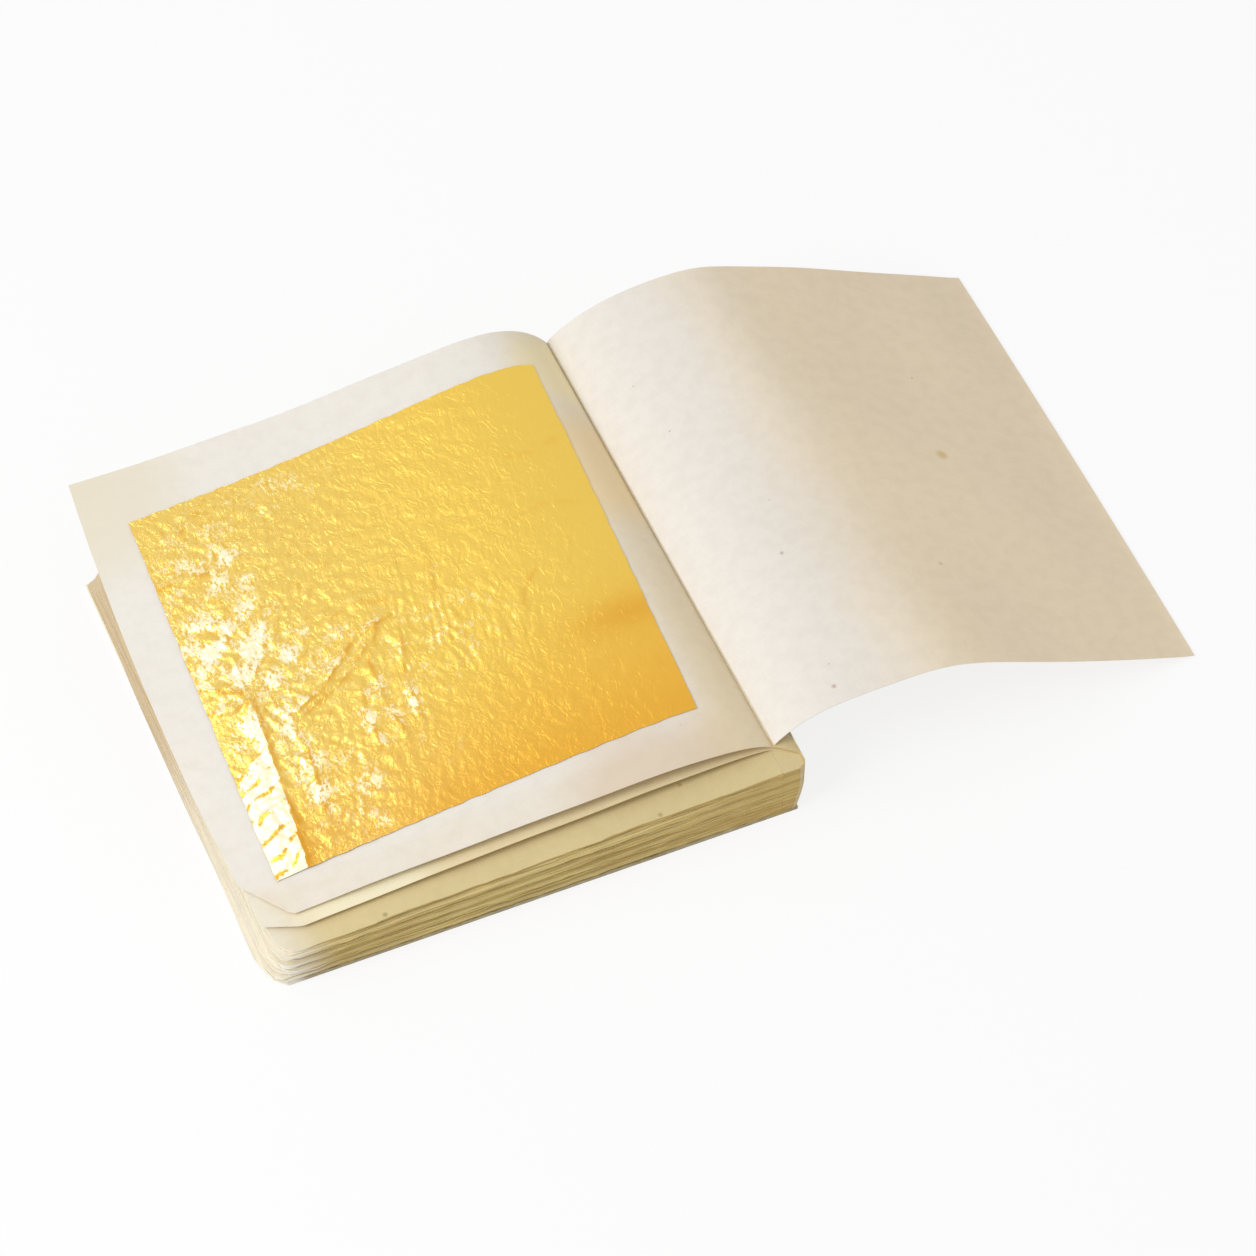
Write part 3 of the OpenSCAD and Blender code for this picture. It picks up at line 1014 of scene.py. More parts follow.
def second_page() -> LoosePage:
    """The page under it, whose front margin shows."""
    return LoosePage(
        "second_page_sheet", "leaf_22", "second_page", SECOND,
        front_start=-0.8, front_rise=1.1, front_fall=4.2,
        back_start=-0.6, back_rise=3.4, back_slump=5.0,
        sag=0.5, yaw=-0.0125, front_shift=-0.2, ear_share=0.3, trim=0.8, cockle=0.08, seed=8,
    )


@dataclass
class TurnedLeaf:
    """The leaf turned over to the right, one sheet across both of its panels.

    Its height is a rise that flattens out, less a soft corner past which it
    falls in a straight slope, and a second soft corner where it meets the table.
    Where there are two numbers, they are for the front and for the back, and the
    leaf is blended in a straight line between them.
    """

    gutter: Gutter = field(default_factory=Gutter)
    finish: PaperFinish = TURNED
    width: float = 83.0
    start: float = -0.15
    rise_height: Pair = (7.8, 8.3)
    rise_length: Pair = (7.5, 9.0)
    corner: Pair = (31.5, 30.0)
    softness: Pair = (3.4, 2.2)
    slope: Pair = (0.414, 0.488)
    landing: float = 0.4
    clearance: float = 0.1
    back_stretch: float = 0.03
    back_reach: float = 2.5
    back_curve: float = 0.8
    spread: float = 2.5
    bulge: float = 0.3
    swell: float = 0.22
    swell_length: float = 42.0
    paper: float = 0.12
    bend_from: float = 12.0
    bend_to: float = 38.0
    bend_height: float = 21.0
    rows: int = 100
    cols: int = 150

    def height(self, d: np.ndarray, v: np.ndarray) -> np.ndarray:
        """Height of the upper face at d from the gutter and v from the front."""
        d = d * (1 + self.back_stretch * v)
        soft = blend(*self.softness, v)
        past = softplus((d - blend(*self.corner, v)) / soft) * soft
        front, back = (
            root[2] + rise(self.rise_height[i], self.rise_length[i], d) - self.slope[i] * past
            for i, root in enumerate((self.gutter.front, self.gutter.back))
        )
        over = softplus((blend(front, back, v) - self.clearance) / self.landing) * self.landing
        return self.paper + self.clearance + over

    def grid(self) -> tuple[np.ndarray, np.ndarray]:
        """Points of the upper face and their distances from the gutter and the front."""
        u, v = lattice(self.rows, self.cols)
        d = self.start + (self.width - self.start) * u ** 1.1
        share = d / self.width
        gx, gy, _ = self.gutter.at(v)
        x = gx + d + share * (self.back_reach * v + self.bulge * belly(v))
        y = gy - self.spread * share * (1 - v) - self.back_curve * v * share**3
        swell = self.swell * soft_noise(d + 0 * v, y, self.swell_length, 21)
        swell = swell * unit(share * 3) * unit((self.width - d) / 14)
        return grid_of(x, y, self.height(d, v) + swell), grid_of(d, v * self.gutter.depth)

    def build(self) -> bpy.types.Object:
        """Make the leaf so that it bends smoothly from one panel to the other."""
        points, uv = self.grid()
        obj = closed_sheet("turned_leaf_sheet", points, self.paper, uv, self.finish.dress())
        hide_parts("turned_leaf_arch", "turned_leaf_fall")
        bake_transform(obj)
        return obj


@dataclass
class Stack:
    """The flat leaves of the stack, each a tilted plane with uneven, rippled edges."""

    leaves: int = 22
    bundle: int = 4
    pitch: float = 0.44
    bundle_gap: float = 0.32
    first: float = 1.1
    depth: float = 97.0
    width: float = 95.6
    front: float = -48.5
    crease_x: float = 45.0
    lean: float = 0.14
    drop: float = 3.4
    swell: float = 5.6
    paper: float = 0.12
    pressed: float = 0.93
    hollow: float = 0.09
    skew: float = 1.2
    roughness: float = 0.07
    bow: float = 0.12
    soft: float = 2.0
    rows: int = 56
    cols: int = 56
    cover: float = 0.8
    gold_side: float = 80.0
    gold_inset: Pair = (8.0, 8.5)
    gold_cells: int = 44
    foil: float = 0.015
    foil_gap: float = 0.02
    foil_relief: float = 0.03

    def base(self, k: int) -> float:
        """Height of leaf k's underside at the front end of its crease."""
        return self.first + self.pitch * (k - 1) + self.bundle_gap * ((k - 1) // self.bundle)

    def place(self, k: int, d: np.ndarray, y: np.ndarray, lift: np.ndarray) -> np.ndarray:
        """Turn points on leaf k's own plane into points of the booklet.

        The plane is tilted down about its crease towards the free edge, and then
        up about the front edge towards the back.

        Args:
            k: Number of the leaf, from the bottom.
            d: Distance from the crease.
            y: Distance from the front.
            lift: Height above the plane.

        Returns:
            The points.
        """
        drop = math.atan(self.drop * k / self.leaves / self.width)
        climb = math.atan(self.swell * (k / self.leaves) ** 2 / self.depth)
        x = -d * math.cos(drop) - lift * math.sin(drop)
        z = -d * math.sin(drop) + lift * math.cos(drop)
        return np.stack([
            self.crease_x + x,
            self.front + y * math.cos(climb) - z * math.sin(climb),
            self.base(k) + y * math.sin(climb) + z * math.cos(climb),
        ], -1)

    def gap(self, k: int, d: np.ndarray, y: np.ndarray) -> np.ndarray:
        """Distance from leaf k's upper face down to the one under it."""
        swell = self.swell * (k * k - (k - 1) ** 2) / self.leaves**2
        return self.pitch - self.drop / self.leaves * d / self.width + swell * y / self.depth

    @staticmethod
    def rounding(past: np.ndarray, across: float, along: float) -> np.ndarray:
        """How far a quarter ellipse cuts into a corner, at a distance past the free edge."""
        return along * quarter(unit((past + across) / across))

    def ripple(self, k: int, d: np.ndarray, y: np.ndarray, near: np.ndarray) -> np.ndarray:
        """Ripples near the edges, shared by a bundle, with a little of the leaf's own."""
        shared = soft_noise(d, y, 34, 100 + (k - 1) // self.bundle)
        own = soft_noise(d, y, 17, 200 + k)
        return (0.11 * shared + 0.028 * own) * np.exp(-near / 7)

    def leaf(
        self, k: int, material: bpy.types.Material, edges: bpy.types.Material
    ) -> bpy.types.Object:
        """Make leaf k, with rounded corners and a slightly rough front edge.

        The back corner is rounder the higher the leaf lies, and the lower leaves
        are cut a little out of square. The grid is finer at the free edge and at
        the front. The first leaf of a bundle fills most of the gap under it.
        """
        cut = self.lean * self.base(k)
        wide = self.width - cut + scatter(0.4, 137, k)
        front, back = scatter(0.35, 73, k), self.depth - cut + scatter(0.3, 101, k)
        skew = self.skew * (1 - k / self.leaves)
        edge = wide + skew
        u, t = lattice(self.rows, self.cols)
        u, t = 1 - (1 - (1 - u) ** 0.9) ** 1.15, t**1.15
        out = u * edge
        corner = 2.2 + scatter(0.8, 51, k)
        start = front * unit(out / 25) + self.rounding(out - edge, 1.5 * corner, 2.34 * corner)
        rough = self.roughness * soft_noise(out, 0 * u + k, 6, 300 + k)
        high = self.base(k) - self.first
        end = back - self.rounding(out - edge, 1.8 + 0.6 * high, 0.98 * (0.8 + 0.92 * high))
        y = blend(start + rough, end, t)
        d = u * (edge - skew * unit((y - 9) / (back - 9)))
        d = d + self.bow * soft_noise(y, 0 * y + k, 30, 400 + k) * u**6
        near = np.clip(np.minimum(np.minimum(y - front, back - y), wide - d), 0, None)
        lift = self.paper + self.ripple(k, d, y, near) * unit(d / 10)
        points = self.place(k, d, y, lift)
        thick = self.pressed * self.gap(k, d, y) - self.hollow * unit((near - 4) / 3)
        if k % self.bundle == 1:
            thick = thick + self.bundle_gap * (0.68 + 0.28 * np.exp(-d / 10))
        obj = closed_sheet(f"stack_leaf_{k:02d}", points, thick, grid_of(d, y), material, edges)
        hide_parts(f"leaf_{k:02d}")
        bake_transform(obj)
        return obj

    def gold(self, k: int, material: bpy.types.Material) -> bpy.types.Object:
        """Make the sheet of gold that lies on leaf k, or on the cover where k is 0."""
        n = k + 1
        s, t = lattice(self.gold_cells, self.gold_cells)
        a, b = np.broadcast_arrays(self.gold_side * s[:, ::-1], self.gold_side * t)
        d = self.gold_inset[0] - scatter(0.8, 89, n) + a
        y = self.gold_inset[1] + scatter(0.8, 61, n) + b
        relief = self.foil_relief * (crumple(a, b, 7, 500 + n, 3) + 0.8)
        if k == 0:
            z = self.cover + 2 * self.foil + relief
            points = grid_of(self.crease_x - d, self.front + y, z)
        else:
            near = np.minimum(np.minimum(y, self.depth - y), self.width - d)
            lift = self.paper + self.foil_gap + relief + self.ripple(k, d, y, near)
            points = self.place(k, d, y, lift)
        uv = grid_of(self.gold_side - a, b)
        obj = closed_sheet(f"gold_sheet_{n:02d}", points, self.foil, uv, material)
        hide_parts(f"gold_{n:02d}")
        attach(obj, f"leaf_{k:02d}" if k else "booklet")
        return obj

    def build(
        self, gold: bpy.types.Material, edges: bpy.types.Material
    ) -> list[bpy.types.Object]:
        """Make every leaf and the gold on it."""
        paper = STACKED.dress()
        made = [self.leaf(k, paper, edges) for k in range(1, self.leaves)]
        made.append(self.leaf(self.leaves, TOP_LEAF.dress(), edges))
        made += [self.gold(k, gold) for k in range(0, self.leaves + 1)]
        return made


@dataclass
class PageGold:
    """A square of gold that follows a page, with its wrinkles.

    Its relief is crumpled foil that is deeper towards the front left corner,
    spokes that run out from one point near the left edge, and a few long creases.
    A crease has a height, the widths of its left and right sides, and a path. A glint patch, where
    painted highlights gather, has a place, a size on each axis and a strength.
    """

    page: LoosePage
    name: str
    node: str
    body: str
    side: float = 80.0
    turn: float = 1.5
    centre: Pair = (-3.5, 6.2)
    drag: float = 2.2
    lift: float = 0.05
    foil: float = 0.02
    cells: int = 222
    strength: float = 1.0
    hub: Pair = (10.0, 37.0)
    middle_at: Pair = (46.0, 34.0)
    middle_size: Pair = (14.0, 14.0)
    slack_until: float = 24.0
    slack_softness: float = 8.0
    light: Pair = (0.9, 0.35)
    bar_pitch: float = 3.6
    creases: tuple[tuple[float, float, float, tuple[Pair, ...]], ...] = (
        (0.42, 0.7, 4.0, ((8.1, 36), (7.6, 26), (7.0, 14), (6.0, 0))),
        (0.20, 0.5, 1.6, ((12, 31), (14, 22), (13, 12), (12, 4))),
        (0.20, 1.6, 0.5, ((13.2, 29.8), (20, 32), (25, 36), (29, 39.5), (36, 41))),
        (0.13, 1.4, 0.5, ((13, 28), (24, 32), (32, 38))),
        (0.16, 0.5, 1.4, ((34, 41), (30, 34), (30, 26), (31, 17))),
        (0.14, 0.5, 1.2, ((37, 36), (35, 29), (34.5, 18))),
        (0.14, 0.5, 1.2, ((27, 30), (26, 25), (26, 17))),
        (0.18, 1.2, 0.5, ((0, 36.5), (4, 35), (9, 36))),
        (0.18, 1.2, 0.5, ((0, 42), (8, 37.5))),
        (0.16, 1.2, 0.5, ((0, 64.5), (11, 64))),
        (0.14, 1.2, 0.5, ((8, 74), (12, 76.5))),
        (0.08, 1.0, 0.5, ((24, 45), (31, 46), (39, 44))),
        (0.10, 0.5, 1.2, ((64, 38), (60.5, 35), (59, 31))),
        (0.08, 0.5, 1.0, ((47, 51), (46, 42))),
        (0.05, 1.5, 0.8, ((66, 62), (72, 61), (80, 63))),
        (0.04, 1.5, 0.8, ((62, 49), (70, 50), (77, 48))),
    )
    # Patches where the painted highlights gather.
    glint_patches: tuple[tuple[float, float, float, float, float], ...] = (
        (3, 51, 6, 8, 0.85), (11, 44, 8, 9, 0.7), (13.5, 60, 3.5, 11, 0.7), (7, 68, 8, 7, 0.45),
        (22, 40, 10, 7, 0.35), (12, 20, 2.6, 13, 0.75), (18, 13, 6, 10, 0.35),
        (26, 23, 1.4, 5, 0.7), (30, 23.5, 1.4, 6, 0.75), (34.5, 24, 1.2, 6, 0.65),
        (27, 75, 9, 4, 0.5), (22.5, 10, 2.5, 4, 0.4), (20, 2.5, 3, 2, 0.5),
        (36, 12, 3, 3, 0.35), (4, 30, 3.5, 4, 0.65),
    )

    def relief(self, a: np.ndarray, b: np.ndarray) -> np.ndarray:
        """Height of the wrinkles, from 0 up.

        Args:
            a: Distance from the left edge.
            b: Distance from the front edge.

        Returns:
            The height.
        """
        slack = self.slack(a, b)
        total = slack * (0.06 * crumple(a, b, 1.7, 11) + 0.16 * crumple(a, b, 3.6, 12, 4))
        total += 0.09 * crumple(a, b, 6, 19, 4) + 0.08 * crumple(a, b, 14, 13, 4)
        total += 0.19 * self.middle(a, b) * crumple(1.6 * a, 0.5 * b, 2.6, 23, 4)
        r = np.hypot(a - self.hub[0], b - self.hub[1])
        turns = np.arctan2(b - self.hub[1], a - self.hub[0]) / (2 * np.pi)
        spoke = fold(18 * turns + 0.35 * soft_noise(a, b, 9, 14)) - 0.5
        total += 0.22 * spoke * np.exp(-r / 16) * (1 - np.exp(-r / 3))
        rough = 0.85 + 0.25 * soft_noise(a, b, 7, 15)
        for height, left, right, path in self.creases:
            total += height * crease(a, b, path, left, right) * rough
        rim = np.minimum(np.minimum(a, self.side - a), np.minimum(b, self.side - b))
        total *= 0.15 + 0.85 * unit(rim / 2.5)
        total += 0.15 * slack + 0.10 * np.exp(-r / 16)
        return self.strength * np.maximum(total, 0)

    def middle(self, a: np.ndarray, b: np.ndarray) -> np.ndarray:
        """The patch of upright wrinkles in the middle: 1 at its centre."""
        return spot(a, b, self.middle_at, self.middle_size)

    def slack(self, a: np.ndarray, b: np.ndarray) -> np.ndarray:
        """How loose the sheet lies: most at its front left corner, least at its right."""
        left = 1 / (1 + np.exp((a - self.slack_until) / self.slack_softness))
        nearness = 1 - b / self.side
        return 0.52 + left * (0.24 + 0.55 * nearness) + 0.08 * nearness

    def wrinkle_marks(
        self, a: np.ndarray, b: np.ndarray, relief: np.ndarray
    ) -> tuple[np.ndarray, np.ndarray]:
        """Painted highlight where the glint patches and wrinkles turn to the light, and painted
        shade where they turn away.

        The light comes low over the left edge and from the back, so a slope that
        rises to the right and to the front catches it.

        Args:
            a: Distance from the left edge.
            b: Distance from the front edge.
            relief: Height of the wrinkles.

        Returns:
            The glint, a painted highlight, and the shade, a painted shade.
        """
        down, across = np.gradient(relief, self.side / (self.cells - 1))
        facing = self.light[0] * across - self.light[1] * down
        loose = unit(self.slack(a, b))
        # How densely the painted highlights gather.
        cover = 0.16 * unit(loose - 0.5) + 0.30 * self.middle(a, b)
        for left, front, wide, deep, amount in self.glint_patches:
            cover = cover + amount * spot(a, b, (left, front), (wide, deep))
        cover *= 0.8 + 0.35 * soft_noise(a, b, 6, 17)
        # Painted highlight where a slope faces the light, painted shade where it faces away.
        glint = 0.8 * cover + 0.5 * loose * unit((facing - 0.06) / 0.16)
        shade = 0.7 * unit((-facing - 0.06) / 0.25)
        broken = unit(0.7 + 0.5 * soft_noise(a, b, 5, 20))
        # Each crease gets a line of painted shade, with a painted highlight along its left side.
        for height, _, _, path in self.creases[1:]:
            strong = unit(height / 0.18) * broken
            line = crease(a, b, path, 0.4, 0.4)
            shade = np.maximum(shade, 0.95 * strong * line)
            glint = glint + 0.45 * strong * (crease(a, b, path, 1.3, 0.02) - line)
        return unit(glint), shade

    def main_crease_marks(
        self, a: np.ndarray, b: np.ndarray
    ) -> tuple[np.ndarray, np.ndarray, np.ndarray]:
        """The broad bright band to the left of the main crease, a painted highlight, with its
        painted shade.

        Args:
            a: Distance from the left edge.
            b: Distance from the front edge.

        Returns:
            The band, a painted highlight; the slanted dark bars across its left part, painted
            shade; and the dark strip to the right of the crease, near the front, also painted
            shade.
        """
        path = self.creases[0][3]
        left_edge = 8.1 - 0.18 * (36 - b) - 6 * unit((26 - b) / 6)
        band = crease(a, b, path, 0.02, 1000) * unit((36 - b) / 3)
        band = band * unit((a - left_edge) / 1.8 + 0.5 + 0.5 * soft_noise(a, b, 3, 24))
        bars = fold((b - 0.6 * a) / self.bar_pitch + 0.15 * soft_noise(a, b, 9, 18))
        bars = unit(1 - bars / 0.42) * unit(0.8 + 0.6 * soft_noise(a, b, 5, 21))
        bars = bars * unit((7.4 - a) / 2.5)
        beside = crease(a, b, path, 2.2, 0.02) * unit((16 - b) / 8)
        return band, bars, beside

    def light_marks(
        self, a: np.ndarray, b: np.ndarray, relief: np.ndarray
    ) -> dict[str, np.ndarray]:
        """Painted highlight where the sheet turns to the light, and painted shade where it turns
        away, times its strength.

        Besides the wrinkles and the band, a patch near the right edge and a strip along the front
        edge get painted shade.

        Args:
            a: Distance from the left edge.
            b: Distance from the front edge.
            relief: Height of the wrinkles.

        Returns:
            The glint, a painted highlight from 0 to 1.4, and the shade, a painted shade from 0 to
            1.
        """
        glint, shade = self.wrinkle_marks(a, b, relief)
        band, bars, beside = self.main_crease_marks(a, b)
        # The band's painted highlight replaces the glint, and its bars and the strip beside the
        # crease add painted shade.
        glint = (glint * (1 - band) + band * (1.3 - 2.2 * bars)) * (1 - 0.9 * beside)
        shade = shade * (1 - 0.8 * band) + 0.85 * band * bars + 0.8 * beside
        # Painted shade: a patch near the right edge and a strip along the front edge.
        shade += 0.6 * spot(a, b, (76, 23), (10, 3.5))
        shade += 0.3 * np.exp(-((b / 6) ** 2)) * unit((a - 24) / 8)
        return {
            "glint": self.strength * np.clip(glint, 0, 1.4),
            "shade": self.strength * unit(shade),
        }

    def build(self, material: bpy.types.Material) -> bpy.types.Object:
        """Make the sheet, in place of its solid."""
        half = self.side / 2
        a, b = (self.side * t for t in np.broadcast_arrays(*lattice(self.cells, self.cells)))
        ragged = 0.05 * soft_noise(a, b, 4, 16)
        p, q = a - half, b - half
        turn = math.radians(self.turn)
        x = self.centre[0] + p * math.cos(turn) - q * math.sin(turn) + self.drag * q / half
        y = self.centre[1] + p * math.sin(turn) + q * math.cos(turn)
        x = x + ragged * (np.abs(p) / half) ** 12
        y = y + ragged * (np.abs(q) / half) ** 12
        relief = self.relief(a, b)
        z = self.page.height(*self.page.locate(x, y)) + self.lift + self.foil + relief
        obj = closed_sheet(
            self.name, grid_of(x, y, z), self.foil, grid_of(a, b), material,
            marks=self.light_marks(a, b, relief),
        )
        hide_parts(self.node)
        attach(obj, self.body)
        return obj


@dataclass
class Binding:
    """The cover, the bound margins, the glued spine strip and the staples.

    Each upper margin starts beside the fold, at a shift in X and a drop from
    gutter_ends. Where it meets the spine, it lies nearer the front by what
    spine_ends gives for its front and for its back.
    """

    stack: Stack = field(default_factory=Stack)
    gutter: Gutter = field(default_factory=Gutter)
    spine_x: float = 49.6
    tuck: float = 1.4
    tuck_height: float = 7.0
    strip: float = 0.25
    air: float = 0.02
    margin_depth: float = 95.5
    strip_depth: float = 95.8
    strip_rise: float = 0.62
    gutter_ends: tuple[Pair, ...] = ((-1.3, 1.05), (-0.3, 0.6), (-0.3, 0.3))
    spine_ends: Pair = (2.7, 3.0)
    upper_pitch: float = 0.24
    upper_thickness: float = 0.16
    upper_bend: Pair = (-1.7, -0.1)
    top_thickness: float = 0.1
    bow: float = 0.35
    corner: float = 1.2
    stations: int = 70

    def face(self, z: np.ndarray) -> np.ndarray:
        """Outer face of the spine at a height: it curves in towards its foot."""
        return self.spine_x - self.tuck * unit(1 - z / self.tuck_height) ** 1.4

    def run(self, depth: float) -> tuple[np.ndarray, np.ndarray, np.ndarray]:
        """Stations along the spine, closer together at both ends.

        Args:
            depth: Distance from the first to the last.

        Returns:
            Columns of their Y, of the height of the top leaf's underside, and of how
            far the spine's ends are rounded off there, nearly as a quarter circle.
        """
        along = depth * (np.sin(np.linspace(-1, 1, self.stations) * np.pi / 2) + 1)[:, None] / 2
        climb = self.stack.swell * along / self.stack.depth
        t = unit(1 - np.minimum(along, depth - along) / self.corner)
        rounding = self.corner * (1 - np.sqrt(1 - 0.98 * t**2))
        return self.stack.front + along, self.stack.base(self.stack.leaves) + climb, rounding

    def inside(self, z: np.ndarray) -> np.ndarray:
        """The margins' outer face at a height: a strip's thickness inside the spine's."""
        return self.face(z) - self.strip - self.air

    def margins(self, edges: bpy.types.Material) -> bpy.types.Object:
        """The pressed margins of the stack: a bar as high as its top leaf."""
        y, top, rounding = self.run(self.margin_depth)
        z = blend(self.stack.cover + self.air, top, np.linspace(0, 1, 14)[None, :])
        inner = grid_of(self.stack.crease_x + self.air, y, z[:, ::-1])
        obj = closed_bar("margin_block", inner, grid_of(self.inside(z) - rounding, y, z), edges)
        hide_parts("bound_margins")
        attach(obj, "booklet")
        return obj

    def top_margin(self, material: bpy.types.Material) -> bpy.types.Object:
        """The top leaf's margin, flush with the leaf and rounded as the spine is."""
        y, top, rounding = self.run(self.margin_depth)
        z = top + self.stack.paper
        t = np.linspace(0, 1, 8)[None, :]
        x = blend(self.stack.crease_x + self.air, self.inside(z) - rounding, t)
        uv = grid_of(x - 60.0, y - self.stack.front)
        obj = closed_sheet("top_margin", grid_of(x, y, z), self.top_thickness, uv, material)
        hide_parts("bound_margins")
        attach(obj, "booklet")
        return obj

    def upper_margin(self, number: int, material: bpy.types.Material) -> bpy.types.Object:
        """The margin of one of the three upper leaves, from the gutter to the spine."""
        inset, drop = self.gutter_ends[number - 1]
        t, v = lattice(40, 14)
        gx, gy, gz = self.gutter.at(v)
        top = self.stack.base(self.stack.leaves) + self.stack.swell * v
        x = blend(gx + inset, self.spine_x - self.strip - self.air, t)
        y = blend(gy, gy - blend(*self.spine_ends, v), t)
        z = blend(gz - drop, top + self.upper_pitch * number, t)
        z = z + self.bow * np.sin(np.pi * t) * (0.4 + 0.6 * v)
        uv = grid_of(100 - x, y - self.stack.front)
        obj = closed_sheet(
            f"upper_margin_{number}", grid_of(x, y, z), self.upper_thickness, uv, material
        )
        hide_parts("bound_margins")
        self.gutter.bend(obj, "booklet", "leaf_22", *self.upper_bend)
        return obj

    def spine_strip(self) -> bpy.types.Object:
        """The glued strip: a thin bar that follows the spine's curve."""
        y, top, rounding = self.run(self.strip_depth)
        foot = self.stack.cover + self.air
        z = blend(foot, top + self.strip_rise, np.linspace(0, 1, 16)[None, :])
        outer = grid_of(self.face(z) - rounding, y, z)
        inner = outer[:, ::-1] - (self.strip, 0, 0)
        obj = closed_bar("spine_strip_paper", outer, inner, SPINE.dress())
        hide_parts("spine_strip")
        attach(obj, "booklet")
        return obj

    def build(self, edges: bpy.types.Material) -> list[bpy.types.Object]:
        """Make the binding and dress the cover and the staples."""
        dress_node("back_cover", CardFinish().dress())
        dress_node("staples", WireFinish().dress())
        paper = MARGIN.dress()
        sheets = [self.upper_margin(number, paper) for number in (1, 2, 3)]
        sheets.append(self.top_margin(paper))
        return [self.margins(edges), self.spine_strip(), *sheets]


def dress_node(node: str, material: bpy.types.Material) -> None:
    """Give a carried-over solid its material."""
    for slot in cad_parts[node].material_slots:
        slot.material = material


# The studio


@dataclass(frozen=True)
class Lamp:
    """A square lamp that faces a point.

    Its azimuth is 0 in front and 90 to the right, its elevation counts from the
    table, both in degrees, and its power is in watts.
    """

    name: str
    aim: Point
    azimuth: float
    elevation: float
    distance: float
    size: float
    power: float


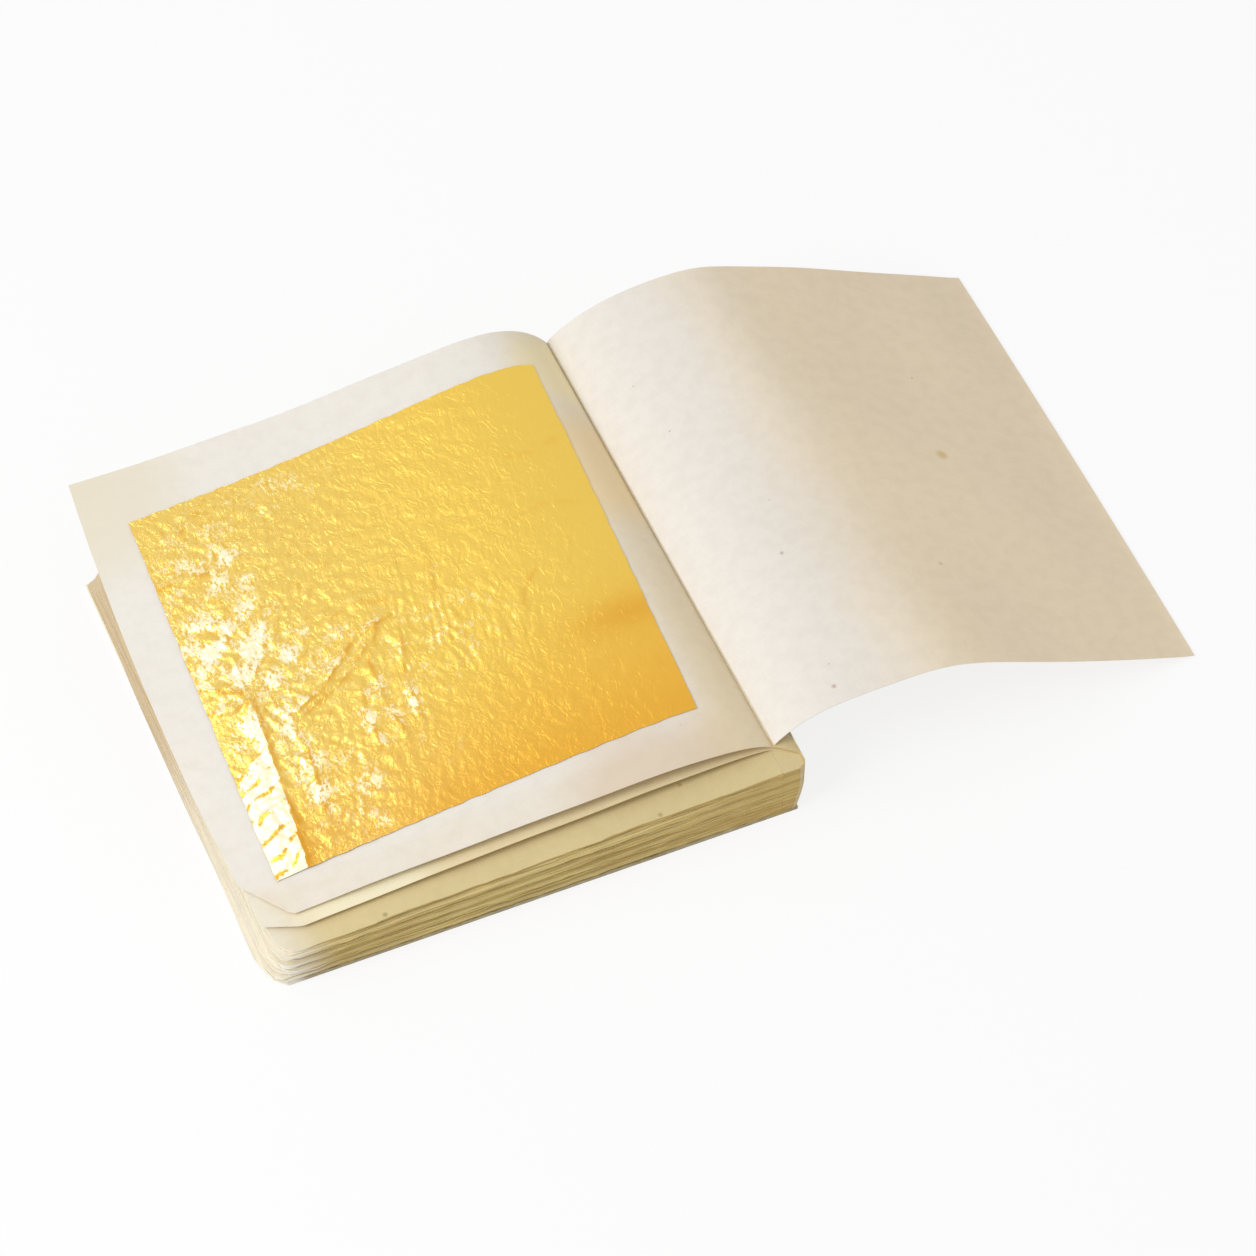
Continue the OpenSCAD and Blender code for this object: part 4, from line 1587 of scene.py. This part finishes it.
@dataclass
class Studio:
    """A pale floor, a soft key from the left, a small lamp behind and the camera."""

    target: Point = (36.81, 0.81, 0.0)
    distance: float = 891.14
    azimuth: float = -24.0
    elevation: float = 51.47
    roll: float = 0.72
    lens: float = 140.16
    sensor: float = 36.0
    clip: Pair = (0.01, 20.0)
    fill: float = 0.56
    floor_side: float = 5000.0
    floor_tone: Colour = (0.86, 0.86, 0.86, 1.0)
    floor_glow: float = 0.80
    glow: float = 1.03
    lamps: tuple[Lamp, ...] = (
        Lamp("key", target, -80.0, 42.0, 900.0, 420.0, 3.4),
        Lamp("glint", (-40.0, -30.0, 11.0), -154.5, 62.3, 400.0, 80.0, 0.09),
    )

    def floor(self) -> None:
        """A wide floor that looks white but keeps the booklet's shadow."""
        half = self.floor_side / 2
        points = np.array([
            [-half, -half, 0], [half, -half, 0], [half, half, 0], [-half, half, 0]
        ])
        graph = Graph("studio_floor")
        matt = graph.node("ShaderNodeBsdfDiffuse", {}, {"Color": self.floor_tone})
        glow = graph.node("ShaderNodeEmission", {}, {"Color": WHITE, "Strength": self.glow})
        seen = self.seen_directly(graph)
        mixed = graph.node("ShaderNodeMixShader", {}, {0: seen * self.floor_glow, 1: matt, 2: glow})
        graph.node("ShaderNodeOutputMaterial", {}, {"Surface": mixed})
        obj = build_mesh("studio_floor", points, [[0, 1, 2, 3]], [graph.owner])

    @staticmethod
    def seen_directly(graph: Graph) -> Wire:
        """1 for rays from the camera and for mirrored or passed rays."""
        camera = graph.node("ShaderNodeLightPath", out="Is Camera Ray")
        rays = camera.socket.node.outputs
        mirrored = Wire(graph, rays["Is Glossy Ray"])
        passed = Wire(graph, rays["Is Transmission Ray"])
        return graph.largest(camera, graph.largest(mirrored, passed))

    def world(self) -> None:
        """A white world that lights the booklet less than it shows."""
        world = bpy.data.worlds.new("studio_world")
        bpy.context.scene.world = world
        graph = Graph(world.name, world)
        light, shown = (
            graph.node("ShaderNodeBackground", {}, {"Color": WHITE, "Strength": strength})
            for strength in (self.fill, 1.0)
        )
        mixed = graph.node(
            "ShaderNodeMixShader", {}, {0: self.seen_directly(graph), 1: light, 2: shown}
        )
        graph.node("ShaderNodeOutputWorld", {}, {"Surface": mixed})

    def light(self, lamp: Lamp) -> None:
        """Add a lamp."""
        data = bpy.data.lights.new(lamp.name, "AREA")
        data.size = lamp.size * MM
        data.energy = lamp.power
        obj = bpy.data.objects.new(lamp.name, data)
        obj.matrix_world = self.facing(lamp.aim, lamp.azimuth, lamp.elevation, lamp.distance)
        bpy.context.scene.collection.objects.link(obj)

    @staticmethod
    def facing(
        aim: Point, azimuth: float, elevation: float, distance: float, roll: float = 0.0
    ) -> Matrix:
        """Place something so that it looks at a point, and roll it."""
        a, e, r = (math.radians(t) for t in (azimuth, elevation, roll))
        back = np.array([math.sin(a) * math.cos(e), -math.cos(a) * math.cos(e), math.sin(e)])
        right = np.cross(-back, [0, 0, 1])
        right /= np.linalg.norm(right)
        up = np.cross(right, -back)
        right, up = right * math.cos(r) + up * math.sin(r), up * math.cos(r) - right * math.sin(r)
        place = (np.array(aim) + back * distance) * MM
        matrix = np.eye(4)
        matrix[:3, 0], matrix[:3, 1], matrix[:3, 2], matrix[:3, 3] = right, up, back, place
        return Matrix(matrix.tolist())

    def camera(self) -> None:
        """Add the camera at the photograph's viewing angle."""
        data = bpy.data.cameras.new("camera")
        data.sensor_width = self.sensor
        data.lens = self.lens
        data.clip_start, data.clip_end = self.clip
        obj = bpy.data.objects.new("camera", data)
        obj.matrix_world = self.facing(
            self.target, self.azimuth, self.elevation, self.distance, self.roll
        )
        bpy.context.scene.collection.objects.link(obj)
        bpy.context.scene.camera = obj

    def build(self) -> None:
        """Set up the whole studio."""
        bpy.context.scene.view_settings.view_transform = "Standard"
        self.floor()
        self.world()
        self.camera()
        for lamp in self.lamps:
            self.light(lamp)


def main() -> None:
    """Build the booklet and the studio, and report each piece."""
    logging.basicConfig(level=logging.INFO, format="%(message)s")
    stack = Stack()
    page, second = open_page(), second_page()
    gold, edges = GoldFinish().dress(), EDGES.dress()
    made = [page.build(), second.build(), TurnedLeaf().build()]
    made += stack.build(gold, edges)
    made.append(PageGold(page, "shown_gold_sheet", "gold_25", "shown_gold").build(gold))
    made.append(
        PageGold(
            second, "gold_sheet_24", "gold_24", "second_page", strength=0.15, cells=60
        ).build(gold)
    )
    made += Binding(stack).build(edges)
    Studio().build()
    for piece in made:
        LOG.info("%s: %d faces", piece.name, len(piece.data.polygons))


if __name__ == "__main__":
    main()
